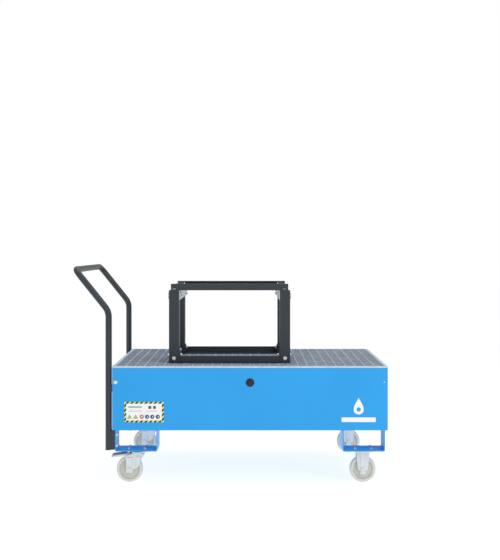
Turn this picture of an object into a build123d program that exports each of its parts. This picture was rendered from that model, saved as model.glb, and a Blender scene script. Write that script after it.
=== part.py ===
"""Spill-tray drum dolly: a sump tray on four castors, with a grating deck, a push handle and a drum stand.

Lengths are in millimetres. The origin is on the floor, at the middle of the whole dolly's length and width.
+X runs along the tray away from the handle, +Y runs to the rear long side and +Z points up.
"""

import math
import os
from collections import namedtuple

from build123d import *

os.makedirs("parts", exist_ok=True)

# ---------------------------------------------------------------- fasteners
Hex = namedtuple("Hex", "shank flats head nut")
M8 = Hex(shank=8.0, flats=13.0, head=5.3, nut=6.5)
M10 = Hex(shank=10.0, flats=17.0, head=6.4, nut=8.0)
M12 = Hex(shank=12.0, flats=19.0, head=6.0, nut=8.0)
HOLE_GAP = 0.4  # radial room round a bolt in its hole
THREAD_GAP = 0.1  # radial room between a shank and its nut
RUNNING_GAP = 0.05  # radial room between a shaft and the bore that turns on it
PRESS_GAP = 0.02  # radial room left round a pressed-in piece
BOLT_END = 3.0  # length of thread left past a nut

# ---------------------------------------------------------------- tray
TRAY_LENGTH = 1300.0
TRAY_WIDTH = 800.0
TRAY_HEIGHT = 295.0
SHEET = 3.0
FOLD_RADIUS = 4.0
HEM_DEPTH = 16.0
CORNER_ANGLE_LEG = 30.0
CORNER_ANGLE_HEIGHT = 80.0
CORNER_FIXING_DROP = 67.0  # corner bolt and rivet below the rim
CORNER_FIXING_INSET = 17.0  # corner bolt and rivet from the end wall
HANDLE_FIXING_DROP = 97.0  # upper handle bolt below the rim
RIVET_DIAMETER = 7.0
RIVET_HEIGHT = 1.8
PLUG_DIAMETER = 40.0
PLUG_NECK = 30.0
PLUG_LIP = 3.0
PLUG_DROP = 69.0
LABEL_LENGTH = 185.0
LABEL_HEIGHT = 96.0
LABEL_THICKNESS = 0.6
LABEL_INSET = 151.0  # label centre from the handle end
LABEL_RISE = 87.0  # label centre above the tray's underside

# ---------------------------------------------------------------- grating
GRATING_DEPTH = 30.0
GRATING_PROUD = 8.0  # grating top above the rim
GRATING_GAP = 10.0  # from the grating to the wall's inner face
GRATING_BAR = 3.0
BEARING_BARS = 28  # spaces between the bars that run across the tray
CROSS_BARS = 24  # spaces between the bars that run along the tray
EDGING_SHEET = 3.0
EDGING_INSET = 0.5  # edging from the tray's outer faces
LEDGE_LEG = 30.0

# ---------------------------------------------------------------- brackets and castors
CASTOR_HEIGHT = 155.0
BRACKET_HEIGHT = 100.0
BRACKET_LENGTH = 200.0
BRACKET_DEPTH = 120.0
BRACKET_SHEET = 5.0
BRACKET_BEND = 8.0
BRACKET_INSET = 13.0  # from the tray's end wall
BRACKET_SETBACK = 4.0  # from the tray's long side
PLATE_LENGTH = 105.0
PLATE_WIDTH = 85.0
PLATE_SHEET = 3.0
PLATE_BOLTS_X = 77.0
PLATE_BOLTS_Y = 60.0
WHEEL_DIAMETER = 125.0
WHEEL_WIDTH = 36.0
WHEEL_EDGE = 5.0
WHEEL_WEB_RADIUS = 47.0
WHEEL_WEB_DEPTH = 7.0
HUB_RADIUS = 19.0
HUB_LENGTH = 42.0
BUSH_RADIUS = 10.0
BUSH_LENGTH = 43.0
FORK_SHEET = 3.0
FORK_GAP = 44.0
RIB_HEIGHT = 4.0
SWIVEL_RIB_WIDTH = 33.0
FIXED_RIB_WIDTH = 24.0
CASTOR_OFFSET = 36.0  # swivel axis to wheel axle
RACE_RADIUS = 32.0
RACE_GAP = 0.3
CROWN_SHEET = 4.0
CROWN_TOP = 136.0
KINGPIN_RADIUS = 8.0
KINGPIN_HEAD_RADIUS = 13.0
KINGPIN_HEAD = 6.5
SWIVEL_FOOT_DROP = 16.5  # swivel fork's foot below the axle
FIXED_FORK_TOP = 60.0
FIXED_FORK_FOOT = 48.0
FIXED_FORK_SHOULDER = 36.0  # depth of the straight part under the plate
FIXED_FOOT_DROP = 21.5  # fixed fork's foot below the axle
CHEEK_REAR = 16.0  # swivel cheek's rear edge from the swivel axis
CHEEK_FRONT = 60.0  # swivel cheek's front tip from the swivel axis
GUSSET_FOOT = 45.0  # rear gusset's foot above the axle
REAR_RIB_EDGE = 5.5  # rear rib's front edge behind the swivel axis

# ---------------------------------------------------------------- brake pedals
PEDAL_SLOPE = 7.3  # degrees
PEDAL_LENGTH = 85.0
PEDAL_WIDTH = 54.0
PEDAL_SHEET = 2.5
PEDAL_START = 34.0  # inner end of the pedal from the swivel axis
PEDAL_START_HEIGHT = 137.0
PEDAL_PIVOT_REACH = 53.0  # pivot from the swivel axis
PEDAL_PIVOT_HEIGHT = 127.0
PEDAL_PIN_RADIUS = 3.0
PEDAL_EAR_RADIUS = 6.0
PEDAL_EAR_INNER = 37.4  # distance between the ears' inner faces
PAD_THICKNESS = 3.0
PAD_TOOTH = 1.2
PAD_TEETH = 13

# ---------------------------------------------------------------- push handle
TUBE_DIAMETER = 30.0
TUBE_WALL = 2.0
HANDLE_GAP = 3.0  # from the tray's end wall to the tube
HANDLE_THROW = 158.0  # top bar's reach beyond the legs
HANDLE_FOOT = 164.0
HANDLE_ELBOW = 816.0
HANDLE_TOP = 1013.0  # axis of the top bar
ELBOW_RADIUS = 80.0
CORNER_RADIUS = 45.0
LUG_HEIGHT = 90.0
LUG_BOLT_LOW = 17.5  # from the lug's foot
LUG_BOLT_HIGH = 69.5
CAP_LIP = 2.0
CAP_INSERT = 18.0

# ---------------------------------------------------------------- drum stand
STAND_WIDTH = 588.0
STAND_DEPTH = 460.0
STAND_HEIGHT = 383.0
STAND_SHIFT_X = -99.0  # stand centre from the tray centre
STAND_SHIFT_Y = -40.0
UPRIGHT = 50.0
UPRIGHT_WALL = 3.0
RAIL_LEG = 35.0
RAIL_SHEET = 4.0
TAB_HEIGHT = 50.0
LOW_BOLT_FRONT = 23.0  # bolts through the long faces, above the stand's foot
LOW_BOLT_SIDE = 35.0  # bolts through the end faces, above the stand's foot
TOP_RAIL_HEIGHT = 31.0
TOP_RAIL_SHEET = 3.0
TOP_RAIL_INSET = 9.5  # rail end from the stand's side
TOP_RAIL_LIP = 35.0
WINDOW_LENGTH = 18.0
WINDOW_HEIGHT = 7.0
WINDOW_INSET = 29.0  # window's centre from the stand's side
RAIL_BOLT_INSET = 14.0  # top rail's bolts from the stand's long faces
DRUM_RADIUS = 286.0
DRUM_CLEARANCE = 9.0  # from the drum to the cradle plates' edge
ROLLER_DIAMETER = 40.0
ROLLER_WIDTH = 27.0
ROLLER_SPREAD = 105.0  # rollers from the drum's axis, across the tray
ROLLER_DROP = 21.0  # rollers' axis below the stand's top
ROLLER_SIDE_GAP = 1.0
PIN_RADIUS = 5.0
PIN_HEAD_RADIUS = 8.0
PIN_HEAD = 3.0
CRADLE_SHEET = 4.0
CRADLE_FOOT_DROP = 46.0  # cradle plate's lower edge below the uprights' top
CRADLE_HIGH_DROP = 5.0  # cradle plate's top edge below the stand's top
CRADLE_BOLT_LOW = 34.0  # below the uprights' top
CRADLE_BOLT_HIGH = 16.0

# ---------------------------------------------------------------- places that follow from the sizes
HANDLE_REACH = TRAY_LENGTH / 2 + HANDLE_GAP + TUBE_DIAMETER + HANDLE_THROW
TRAY_X = (HANDLE_REACH - TRAY_LENGTH / 2) / 2
LEFT = TRAY_X - TRAY_LENGTH / 2
RIGHT = TRAY_X + TRAY_LENGTH / 2
SIDE = TRAY_WIDTH / 2
TRAY_BASE = CASTOR_HEIGHT + BRACKET_HEIGHT
RIM = TRAY_BASE + TRAY_HEIGHT
DECK = RIM + GRATING_PROUD
LEDGE = DECK - GRATING_DEPTH
INNER_LENGTH = TRAY_LENGTH - 2 * SHEET
INNER_WIDTH = TRAY_WIDTH - 2 * SHEET

SIDES = {"front": -1, "rear": 1}
BRACKET_Y = SIDE - BRACKET_SETBACK - BRACKET_DEPTH / 2
SWIVEL_X = LEFT + BRACKET_INSET + BRACKET_LENGTH / 2
FIXED_X = RIGHT - BRACKET_INSET - BRACKET_LENGTH / 2
WHEEL_RADIUS = WHEEL_DIAMETER / 2
PLATE_BOTTOM = CASTOR_HEIGHT - PLATE_SHEET
FORK_HALF = FORK_GAP / 2
FORK_OUTER = FORK_HALF + FORK_SHEET
WEB_TOP = CASTOR_HEIGHT + BRACKET_SHEET

TUBE_RADIUS = TUBE_DIAMETER / 2
LEG_X = LEFT - HANDLE_GAP - TUBE_RADIUS
LEG_Y = SIDE - TUBE_RADIUS
TOP_BAR_X = LEG_X - HANDLE_THROW

STAND_X = TRAY_X + STAND_SHIFT_X
STAND_Y = STAND_SHIFT_Y
STAND_TOP = DECK + STAND_HEIGHT
UPRIGHT_TOP = STAND_TOP - TOP_RAIL_HEIGHT
UPRIGHT_X = STAND_WIDTH / 2 - UPRIGHT / 2
UPRIGHT_Y = STAND_DEPTH / 2 - UPRIGHT / 2
INSIDE_X = STAND_WIDTH / 2 - UPRIGHT
INSIDE_Y = STAND_DEPTH / 2 - UPRIGHT
WINDOW_CENTRE = STAND_WIDTH / 2 - WINDOW_INSET
RAIL_BOLT_Y = STAND_DEPTH / 2 - RAIL_BOLT_INSET
ROLLER_Z = STAND_TOP - ROLLER_DROP
DRUM_Z = ROLLER_Z + math.sqrt((DRUM_RADIUS + ROLLER_DIAMETER / 2) ** 2 - ROLLER_SPREAD**2)


def level(x, y, z):
    """Plane at a point, facing up, with its x along +X and its y along +Y."""
    return Plane(origin=(x, y, z), x_dir=(1, 0, 0), z_dir=(0, 0, 1))


def facing_long(x, y, z, way=-1):
    """Plane at a point, facing a long side: -1 faces the front and 1 the rear. Its y is +Z."""
    return Plane(origin=(x, y, z), x_dir=(-way, 0, 0), z_dir=(0, way, 0))


def facing_end(x, y, z, way=1):
    """Plane at a point, facing an end: 1 faces +X and -1 faces -X. Its y is +Z."""
    return Plane(origin=(x, y, z), x_dir=(0, way, 0), z_dir=(way, 0, 0))


def turned_back(planes, distance):
    """The planes moved back by a distance, and turned to face the other way."""
    return [Plane(plane.offset(-distance).origin, x_dir=plane.x_dir, z_dir=-plane.z_dir) for plane in planes]


def hex_bolts(size, grip, planes):
    """Bolts whose heads stand on the planes, and whose shanks run back from them through the grip."""
    with BuildPart() as group:
        with BuildSketch(*planes):
            RegularPolygon(size.flats / 2, 6, major_radius=False, rotation=30)
        extrude(amount=size.head)
        with BuildSketch(*planes):
            Circle(size.shank / 2)
        extrude(amount=-grip)
    return group


def hex_nuts(size, planes):
    """Nuts that stand on the planes, bored clear of the shank."""
    with BuildPart() as group:
        with BuildSketch(*planes):
            RegularPolygon(size.flats / 2, 6, major_radius=False, rotation=30)
            Circle(size.shank / 2 + THREAD_GAP, mode=Mode.SUBTRACT)
        extrude(amount=size.nut)
    return group


# ================================================================ tray
fixing_z = RIM - CORNER_FIXING_DROP
corner_bolt_planes = [
    facing_long(LEFT + CORNER_FIXING_INSET, way * SIDE, fixing_z, way) for way in SIDES.values()
]
corner_rivet_planes = [
    facing_long(RIGHT - CORNER_FIXING_INSET, way * SIDE, fixing_z, way) for way in SIDES.values()
]
handle_high_planes = [
    facing_end(LEFT + 2 * SHEET, way * LEG_Y, RIM - HANDLE_FIXING_DROP) for way in SIDES.values()
]
plug_plane = facing_long(TRAY_X, -SIDE, RIM - PLUG_DROP)
wall_cut = 4 * SHEET

with BuildPart() as sump_tray:
    with BuildSketch(level(TRAY_X, 0, TRAY_BASE)):
        RectangleRounded(TRAY_LENGTH, TRAY_WIDTH, FOLD_RADIUS)
    extrude(amount=TRAY_HEIGHT)
    fillet(sump_tray.faces().sort_by(Axis.Z)[0].edges(), FOLD_RADIUS)
    offset(amount=-SHEET, openings=sump_tray.faces().sort_by(Axis.Z)[-1])
    with BuildSketch(level(TRAY_X, 0, RIM - HEM_DEPTH)):
        RectangleRounded(TRAY_LENGTH - SHEET, TRAY_WIDTH - SHEET, FOLD_RADIUS - SHEET / 2)
        Rectangle(INNER_LENGTH - 2 * SHEET, INNER_WIDTH - 2 * SHEET, mode=Mode.SUBTRACT)
    extrude(amount=HEM_DEPTH)
    with BuildSketch(*corner_bolt_planes, *handle_high_planes):
        Circle(M10.shank / 2 + HOLE_GAP)
    extrude(amount=wall_cut, both=True, mode=Mode.SUBTRACT)
    with BuildSketch(*corner_rivet_planes):
        Circle(RIVET_DIAMETER / 4 + THREAD_GAP)
    extrude(amount=wall_cut, both=True, mode=Mode.SUBTRACT)
    with BuildSketch(plug_plane):
        Circle(PLUG_NECK / 2)
    extrude(amount=wall_cut, both=True, mode=Mode.SUBTRACT)
sump_tray.part.label = "sump_tray"
export_step(sump_tray.part, "parts/sump_tray.step")

# Ledge angles: the long pair runs the whole inside length, and the short pair fits between them.
with BuildPart() as grating_ledges:
    for way in (-1, 1):
        with BuildSketch(level(TRAY_X, way * (INNER_WIDTH - LEDGE_LEG) / 2, LEDGE)):
            Rectangle(INNER_LENGTH - 2 * FOLD_RADIUS, LEDGE_LEG)
        extrude(amount=-SHEET)
        with BuildSketch(level(TRAY_X, way * (INNER_WIDTH - SHEET) / 2, LEDGE)):
            Rectangle(INNER_LENGTH - 2 * FOLD_RADIUS, SHEET)
        extrude(amount=-LEDGE_LEG)
        with BuildSketch(level(TRAY_X + way * (INNER_LENGTH - LEDGE_LEG) / 2, 0, LEDGE)):
            Rectangle(LEDGE_LEG, INNER_WIDTH - 2 * LEDGE_LEG - 1)
        extrude(amount=-SHEET)
        with BuildSketch(level(TRAY_X + way * (INNER_LENGTH - SHEET) / 2, 0, LEDGE)):
            Rectangle(SHEET, INNER_WIDTH - 2 * LEDGE_LEG - 1)
        extrude(amount=-LEDGE_LEG)
grating_ledges.part.label = "grating_ledges"
export_step(grating_ledges.part, "parts/grating_ledges.step")

corner_angle_top = LEDGE - LEDGE_LEG - 1
with BuildPart() as corner_angles:
    for along in (-1, 1):
        for way in (-1, 1):
            corner = (TRAY_X + along * INNER_LENGTH / 2, way * INNER_WIDTH / 2)
            with BuildSketch(level(*corner, corner_angle_top)):
                with Locations((-along * (CORNER_ANGLE_LEG + 1) / 2, -way * SHEET / 2)):
                    Rectangle(CORNER_ANGLE_LEG - 1, SHEET)
                with Locations((-along * SHEET / 2, -way * (CORNER_ANGLE_LEG + 1) / 2)):
                    Rectangle(SHEET, CORNER_ANGLE_LEG - 1)
            extrude(amount=-CORNER_ANGLE_HEIGHT)
    with BuildSketch(*corner_bolt_planes, *handle_high_planes):
        Circle(M10.shank / 2 + HOLE_GAP)
    extrude(amount=wall_cut, both=True, mode=Mode.SUBTRACT)
    with BuildSketch(*corner_rivet_planes):
        Circle(RIVET_DIAMETER / 4 + THREAD_GAP)
    extrude(amount=wall_cut, both=True, mode=Mode.SUBTRACT)
corner_angles.part.label = "corner_angles"
export_step(corner_angles.part, "parts/corner_angles.step")

corner_grip = 2 * SHEET
corner_bolts = hex_bolts(M10, corner_grip + M10.nut + BOLT_END, corner_bolt_planes)
corner_bolts.part.label = "corner_bolts"
export_step(corner_bolts.part, "parts/corner_bolts.step")

corner_nuts = hex_nuts(M10, turned_back(corner_bolt_planes, corner_grip))
corner_nuts.part.label = "corner_nuts"
export_step(corner_nuts.part, "parts/corner_nuts.step")

with BuildPart() as corner_rivets:
    with BuildSketch(*corner_rivet_planes):
        Circle(RIVET_DIAMETER / 2)
    extrude(amount=RIVET_HEIGHT, taper=20)
    with BuildSketch(*corner_rivet_planes):
        Circle(RIVET_DIAMETER / 4)
    extrude(amount=-corner_grip - BOLT_END)
corner_rivets.part.label = "corner_rivets"
export_step(corner_rivets.part, "parts/corner_rivets.step")

with BuildPart() as inspection_plug:
    with BuildSketch(plug_plane):
        Circle(PLUG_DIAMETER / 2)
    extrude(amount=PLUG_LIP)
    fillet(inspection_plug.faces().sort_by(Axis.Y)[0].edges(), PLUG_LIP / 3)
    with BuildSketch(plug_plane):
        Circle(PLUG_NECK / 2 - THREAD_GAP)
    extrude(amount=-2 * SHEET)
    with BuildSketch(plug_plane.offset(PLUG_LIP)):
        Circle(PLUG_NECK / 2 - 1)
        Circle(PLUG_NECK / 2 - 2.5, mode=Mode.SUBTRACT)
    extrude(amount=-PLUG_LIP / 3, mode=Mode.SUBTRACT)
inspection_plug.part.label = "inspection_plug"
export_step(inspection_plug.part, "parts/inspection_plug.step")

with BuildPart() as label_plate:
    with BuildSketch(facing_long(LEFT + LABEL_INSET, -SIDE, TRAY_BASE + LABEL_RISE)):
        RectangleRounded(LABEL_LENGTH, LABEL_HEIGHT, LABEL_THICKNESS)
    extrude(amount=LABEL_THICKNESS)
label_plate.part.label = "label_plate"
export_step(label_plate.part, "parts/label_plate.step")

# ================================================================ grating
grating_length = INNER_LENGTH - 2 * GRATING_GAP
grating_width = INNER_WIDTH - 2 * GRATING_GAP + 2 * SHEET
bar_pitch_x = (grating_length - GRATING_BAR) / BEARING_BARS
bar_pitch_y = (grating_width - GRATING_BAR) / CROSS_BARS
with BuildPart() as grating:
    with BuildSketch(level(TRAY_X, 0, LEDGE)):
        Rectangle(grating_length, grating_width)
        with GridLocations(bar_pitch_x, bar_pitch_y, BEARING_BARS, CROSS_BARS):
            Rectangle(bar_pitch_x - GRATING_BAR, bar_pitch_y - GRATING_BAR, mode=Mode.SUBTRACT)
    extrude(amount=GRATING_DEPTH)
grating.part.label = "grating"
export_step(grating.part, "parts/grating.step")

# The edging is folded down over the tray's rim, and the grating hangs inside it.
edging_length = TRAY_LENGTH - 2 * EDGING_INSET
edging_width = TRAY_WIDTH - 2 * EDGING_INSET
with BuildPart() as grating_edging:
    with BuildSketch(level(TRAY_X, 0, DECK)):
        Rectangle(edging_length, edging_width)
        Rectangle(grating_length, grating_width, mode=Mode.SUBTRACT)
    extrude(amount=-EDGING_SHEET)
    with BuildSketch(level(TRAY_X, 0, RIM)):
        Rectangle(edging_length, edging_width)
        Rectangle(edging_length - 2 * EDGING_SHEET, edging_width - 2 * EDGING_SHEET, mode=Mode.SUBTRACT)
    extrude(amount=GRATING_PROUD)
grating_edging.part.label = "grating_edging"
export_step(grating_edging.part, "parts/grating_edging.step")

# ================================================================ push handle
tube_path_points = [
    (LEG_X, -LEG_Y, HANDLE_FOOT),
    (LEG_X, -LEG_Y, HANDLE_ELBOW),
    (TOP_BAR_X, -LEG_Y, HANDLE_TOP),
    (TOP_BAR_X, LEG_Y, HANDLE_TOP),
    (LEG_X, LEG_Y, HANDLE_ELBOW),
    (LEG_X, LEG_Y, HANDLE_FOOT),
]
handle_low_planes = [
    facing_end(LEFT + BRACKET_INSET + BRACKET_SHEET, way * LEG_Y, HANDLE_FOOT + height)
    for way in SIDES.values()
    for height in (LUG_BOLT_LOW, LUG_BOLT_HIGH)
]
handle_low_grip = BRACKET_SHEET + BRACKET_INSET + HANDLE_GAP + 2.5 * TUBE_WALL
handle_high_grip = 2 * SHEET + HANDLE_GAP + 2.5 * TUBE_WALL

with BuildPart() as handle_tube:
    with BuildLine() as tube_path:
        FilletPolyline(*tube_path_points, radius=[ELBOW_RADIUS, CORNER_RADIUS, CORNER_RADIUS, ELBOW_RADIUS])
    with BuildSketch(level(LEG_X, -LEG_Y, HANDLE_FOOT)):
        Circle(TUBE_RADIUS)
        Circle(TUBE_RADIUS - TUBE_WALL, mode=Mode.SUBTRACT)
    sweep(path=tube_path.wires()[0])
    with BuildSketch(*handle_low_planes):
        Circle(M10.shank / 2 + HOLE_GAP)
    extrude(amount=-handle_low_grip - TUBE_WALL, mode=Mode.SUBTRACT)
    with BuildSketch(*handle_high_planes):
        Circle(M10.shank / 2 + HOLE_GAP)
    extrude(amount=-handle_high_grip - TUBE_WALL, mode=Mode.SUBTRACT)
handle_tube.part.label = "handle_tube"
export_step(handle_tube.part, "parts/handle_tube.step")

# Each lug is saddled on the tube and stands against the bracket's outer leg.
lug_span = BRACKET_INSET + HANDLE_GAP + TUBE_RADIUS / 2
with BuildPart() as handle_lugs:
    for way in (-1, 1):
        with BuildSketch(level(LEFT + BRACKET_INSET - lug_span / 2, way * LEG_Y, HANDLE_FOOT)):
            Rectangle(lug_span, TUBE_DIAMETER - 4)
        extrude(amount=LUG_HEIGHT)
        with BuildSketch(level(LEG_X, way * LEG_Y, HANDLE_FOOT)):
            Circle(TUBE_RADIUS + RUNNING_GAP)
        extrude(amount=LUG_HEIGHT, mode=Mode.SUBTRACT)
    with BuildSketch(*handle_low_planes):
        Circle(M10.shank / 2 + HOLE_GAP)
    extrude(amount=-handle_low_grip, mode=Mode.SUBTRACT)
handle_lugs.part.label = "handle_lugs"
export_step(handle_lugs.part, "parts/handle_lugs.step")

spacer_span = HANDLE_GAP + TUBE_RADIUS / 2
with BuildPart() as handle_spacers:
    for way in (-1, 1):
        with BuildSketch(level(LEFT - spacer_span / 2, way * LEG_Y, RIM - HANDLE_FIXING_DROP - TUBE_RADIUS)):
            Rectangle(spacer_span, TUBE_DIAMETER - 6)
        extrude(amount=TUBE_DIAMETER)
        with BuildSketch(level(LEG_X, way * LEG_Y, RIM - HANDLE_FIXING_DROP - TUBE_RADIUS)):
            Circle(TUBE_RADIUS + RUNNING_GAP)
        extrude(amount=TUBE_DIAMETER, mode=Mode.SUBTRACT)
    with BuildSketch(*handle_high_planes):
        Circle(M10.shank / 2 + HOLE_GAP)
    extrude(amount=-handle_high_grip, mode=Mode.SUBTRACT)
handle_spacers.part.label = "handle_spacers"
export_step(handle_spacers.part, "parts/handle_spacers.step")

with BuildPart() as handle_caps:
    with BuildSketch(*[level(LEG_X, way * LEG_Y, HANDLE_FOOT) for way in SIDES.values()]):
        Circle(TUBE_RADIUS)
    extrude(amount=-CAP_LIP)
    with BuildSketch(*[level(LEG_X, way * LEG_Y, HANDLE_FOOT) for way in SIDES.values()]):
        Circle(TUBE_RADIUS - TUBE_WALL - THREAD_GAP)
    extrude(amount=CAP_INSERT - M10.shank)
handle_caps.part.label = "handle_caps"
export_step(handle_caps.part, "parts/handle_caps.step")

lug_bolts = hex_bolts(M10, handle_low_grip, handle_low_planes)
spacer_bolts = hex_bolts(M10, handle_high_grip, handle_high_planes)
with BuildPart() as handle_bolts:
    add(lug_bolts.part)
    add(spacer_bolts.part)
handle_bolts.part.label = "handle_bolts"
export_step(handle_bolts.part, "parts/handle_bolts.step")

# ================================================================ brackets
plate_corners = [
    (along * PLATE_BOLTS_X / 2, across * PLATE_BOLTS_Y / 2) for along in (-1, 1) for across in (-1, 1)
]
castor_centres = {
    "front_left": (SWIVEL_X, -BRACKET_Y),
    "rear_left": (SWIVEL_X, BRACKET_Y),
    "front_right": (FIXED_X, -BRACKET_Y),
    "rear_right": (FIXED_X, BRACKET_Y),
}
half = BRACKET_LENGTH / 2
inner = half - BRACKET_SHEET
for place, (x, y) in castor_centres.items():
    with BuildPart() as bracket:
        with BuildSketch(facing_long(x, y, CASTOR_HEIGHT)):
            with BuildLine():
                FilletPolyline(
                    (-half, BRACKET_HEIGHT),
                    (-half, 0),
                    (half, 0),
                    (half, BRACKET_HEIGHT),
                    radius=BRACKET_BEND,
                )
                Line((half, BRACKET_HEIGHT), (inner, BRACKET_HEIGHT))
                FilletPolyline(
                    (inner, BRACKET_HEIGHT),
                    (inner, BRACKET_SHEET),
                    (-inner, BRACKET_SHEET),
                    (-inner, BRACKET_HEIGHT),
                    radius=BRACKET_BEND - BRACKET_SHEET,
                )
                Line((-inner, BRACKET_HEIGHT), (-half, BRACKET_HEIGHT))
            make_face()
        extrude(amount=BRACKET_DEPTH / 2, both=True)
        with BuildSketch(level(x, y, CASTOR_HEIGHT)):
            with Locations(*plate_corners):
                Circle(M8.shank / 2 + HOLE_GAP)
        extrude(amount=BRACKET_SHEET, mode=Mode.SUBTRACT)
        with BuildSketch(*handle_low_planes):
            Circle(M10.shank / 2 + HOLE_GAP)
        extrude(amount=-2 * BRACKET_SHEET, mode=Mode.SUBTRACT)
    bracket.part.label = f"bracket_{place}"
    export_step(bracket.part, f"parts/bracket_{place}.step")

castor_bolt_places = [(x + dx, y + dy) for x, y in castor_centres.values() for dx, dy in plate_corners]
castor_bolts = hex_bolts(
    M8,
    PLATE_SHEET + BRACKET_SHEET + M8.nut + BOLT_END,
    [Plane(origin=(x, y, PLATE_BOTTOM), x_dir=(1, 0, 0), z_dir=(0, 0, -1)) for x, y in castor_bolt_places],
)
castor_bolts.part.label = "castor_bolts"
export_step(castor_bolts.part, "parts/castor_bolts.step")

castor_nuts = hex_nuts(M8, [level(x, y, WEB_TOP) for x, y in castor_bolt_places])
castor_nuts.part.label = "castor_nuts"
export_step(castor_nuts.part, "parts/castor_nuts.step")

# ================================================================ wheels
wheel_centres = {
    "front_left": (SWIVEL_X - CASTOR_OFFSET, -BRACKET_Y),
    "rear_left": (SWIVEL_X - CASTOR_OFFSET, BRACKET_Y),
    "front_right": (FIXED_X, -BRACKET_Y),
    "rear_right": (FIXED_X, BRACKET_Y),
}
for place, (x, y) in wheel_centres.items():
    wheel_plane = facing_long(x, y, WHEEL_RADIUS)
    with BuildPart() as wheel:
        with BuildSketch(wheel_plane):
            Circle(WHEEL_RADIUS)
        extrude(amount=WHEEL_WIDTH / 2, both=True)
        fillet(wheel.edges().filter_by(GeomType.CIRCLE), WHEEL_EDGE)
        for way in (-1, 1):
            with BuildSketch(wheel_plane.offset(way * WHEEL_WIDTH / 2)):
                Circle(WHEEL_WEB_RADIUS)
                Circle(HUB_RADIUS, mode=Mode.SUBTRACT)
            extrude(amount=-way * WHEEL_WEB_DEPTH, mode=Mode.SUBTRACT)
        with BuildSketch(wheel_plane):
            Circle(HUB_RADIUS)
        extrude(amount=HUB_LENGTH / 2, both=True)
        with BuildSketch(wheel_plane):
            Circle(BUSH_RADIUS + PRESS_GAP)
        extrude(amount=HUB_LENGTH, both=True, mode=Mode.SUBTRACT)
    wheel.part.label = f"wheel_{place}"
    export_step(wheel.part, f"parts/wheel_{place}.step")

    with BuildPart() as bush:
        with BuildSketch(wheel_plane):
            Circle(BUSH_RADIUS)
            Circle(M12.shank / 2 + RUNNING_GAP, mode=Mode.SUBTRACT)
        extrude(amount=BUSH_LENGTH / 2, both=True)
    bush.part.label = f"bush_{place}"
    export_step(bush.part, f"parts/bush_{place}.step")

axle_face = FORK_OUTER + RIB_HEIGHT


def axle(x, y):
    """Axle bolt across one fork, with its head at the front and its nut at the rear."""
    with BuildPart() as built:
        with BuildSketch(facing_long(x, y, WHEEL_RADIUS)):
            Circle(M12.shank / 2)
        extrude(amount=axle_face, both=True)
        for way in (-1, 1):
            with BuildSketch(facing_long(x, y + way * axle_face, WHEEL_RADIUS, way)):
                RegularPolygon(M12.flats / 2, 6, major_radius=False)
            extrude(amount=M12.head)
    return built


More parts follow.
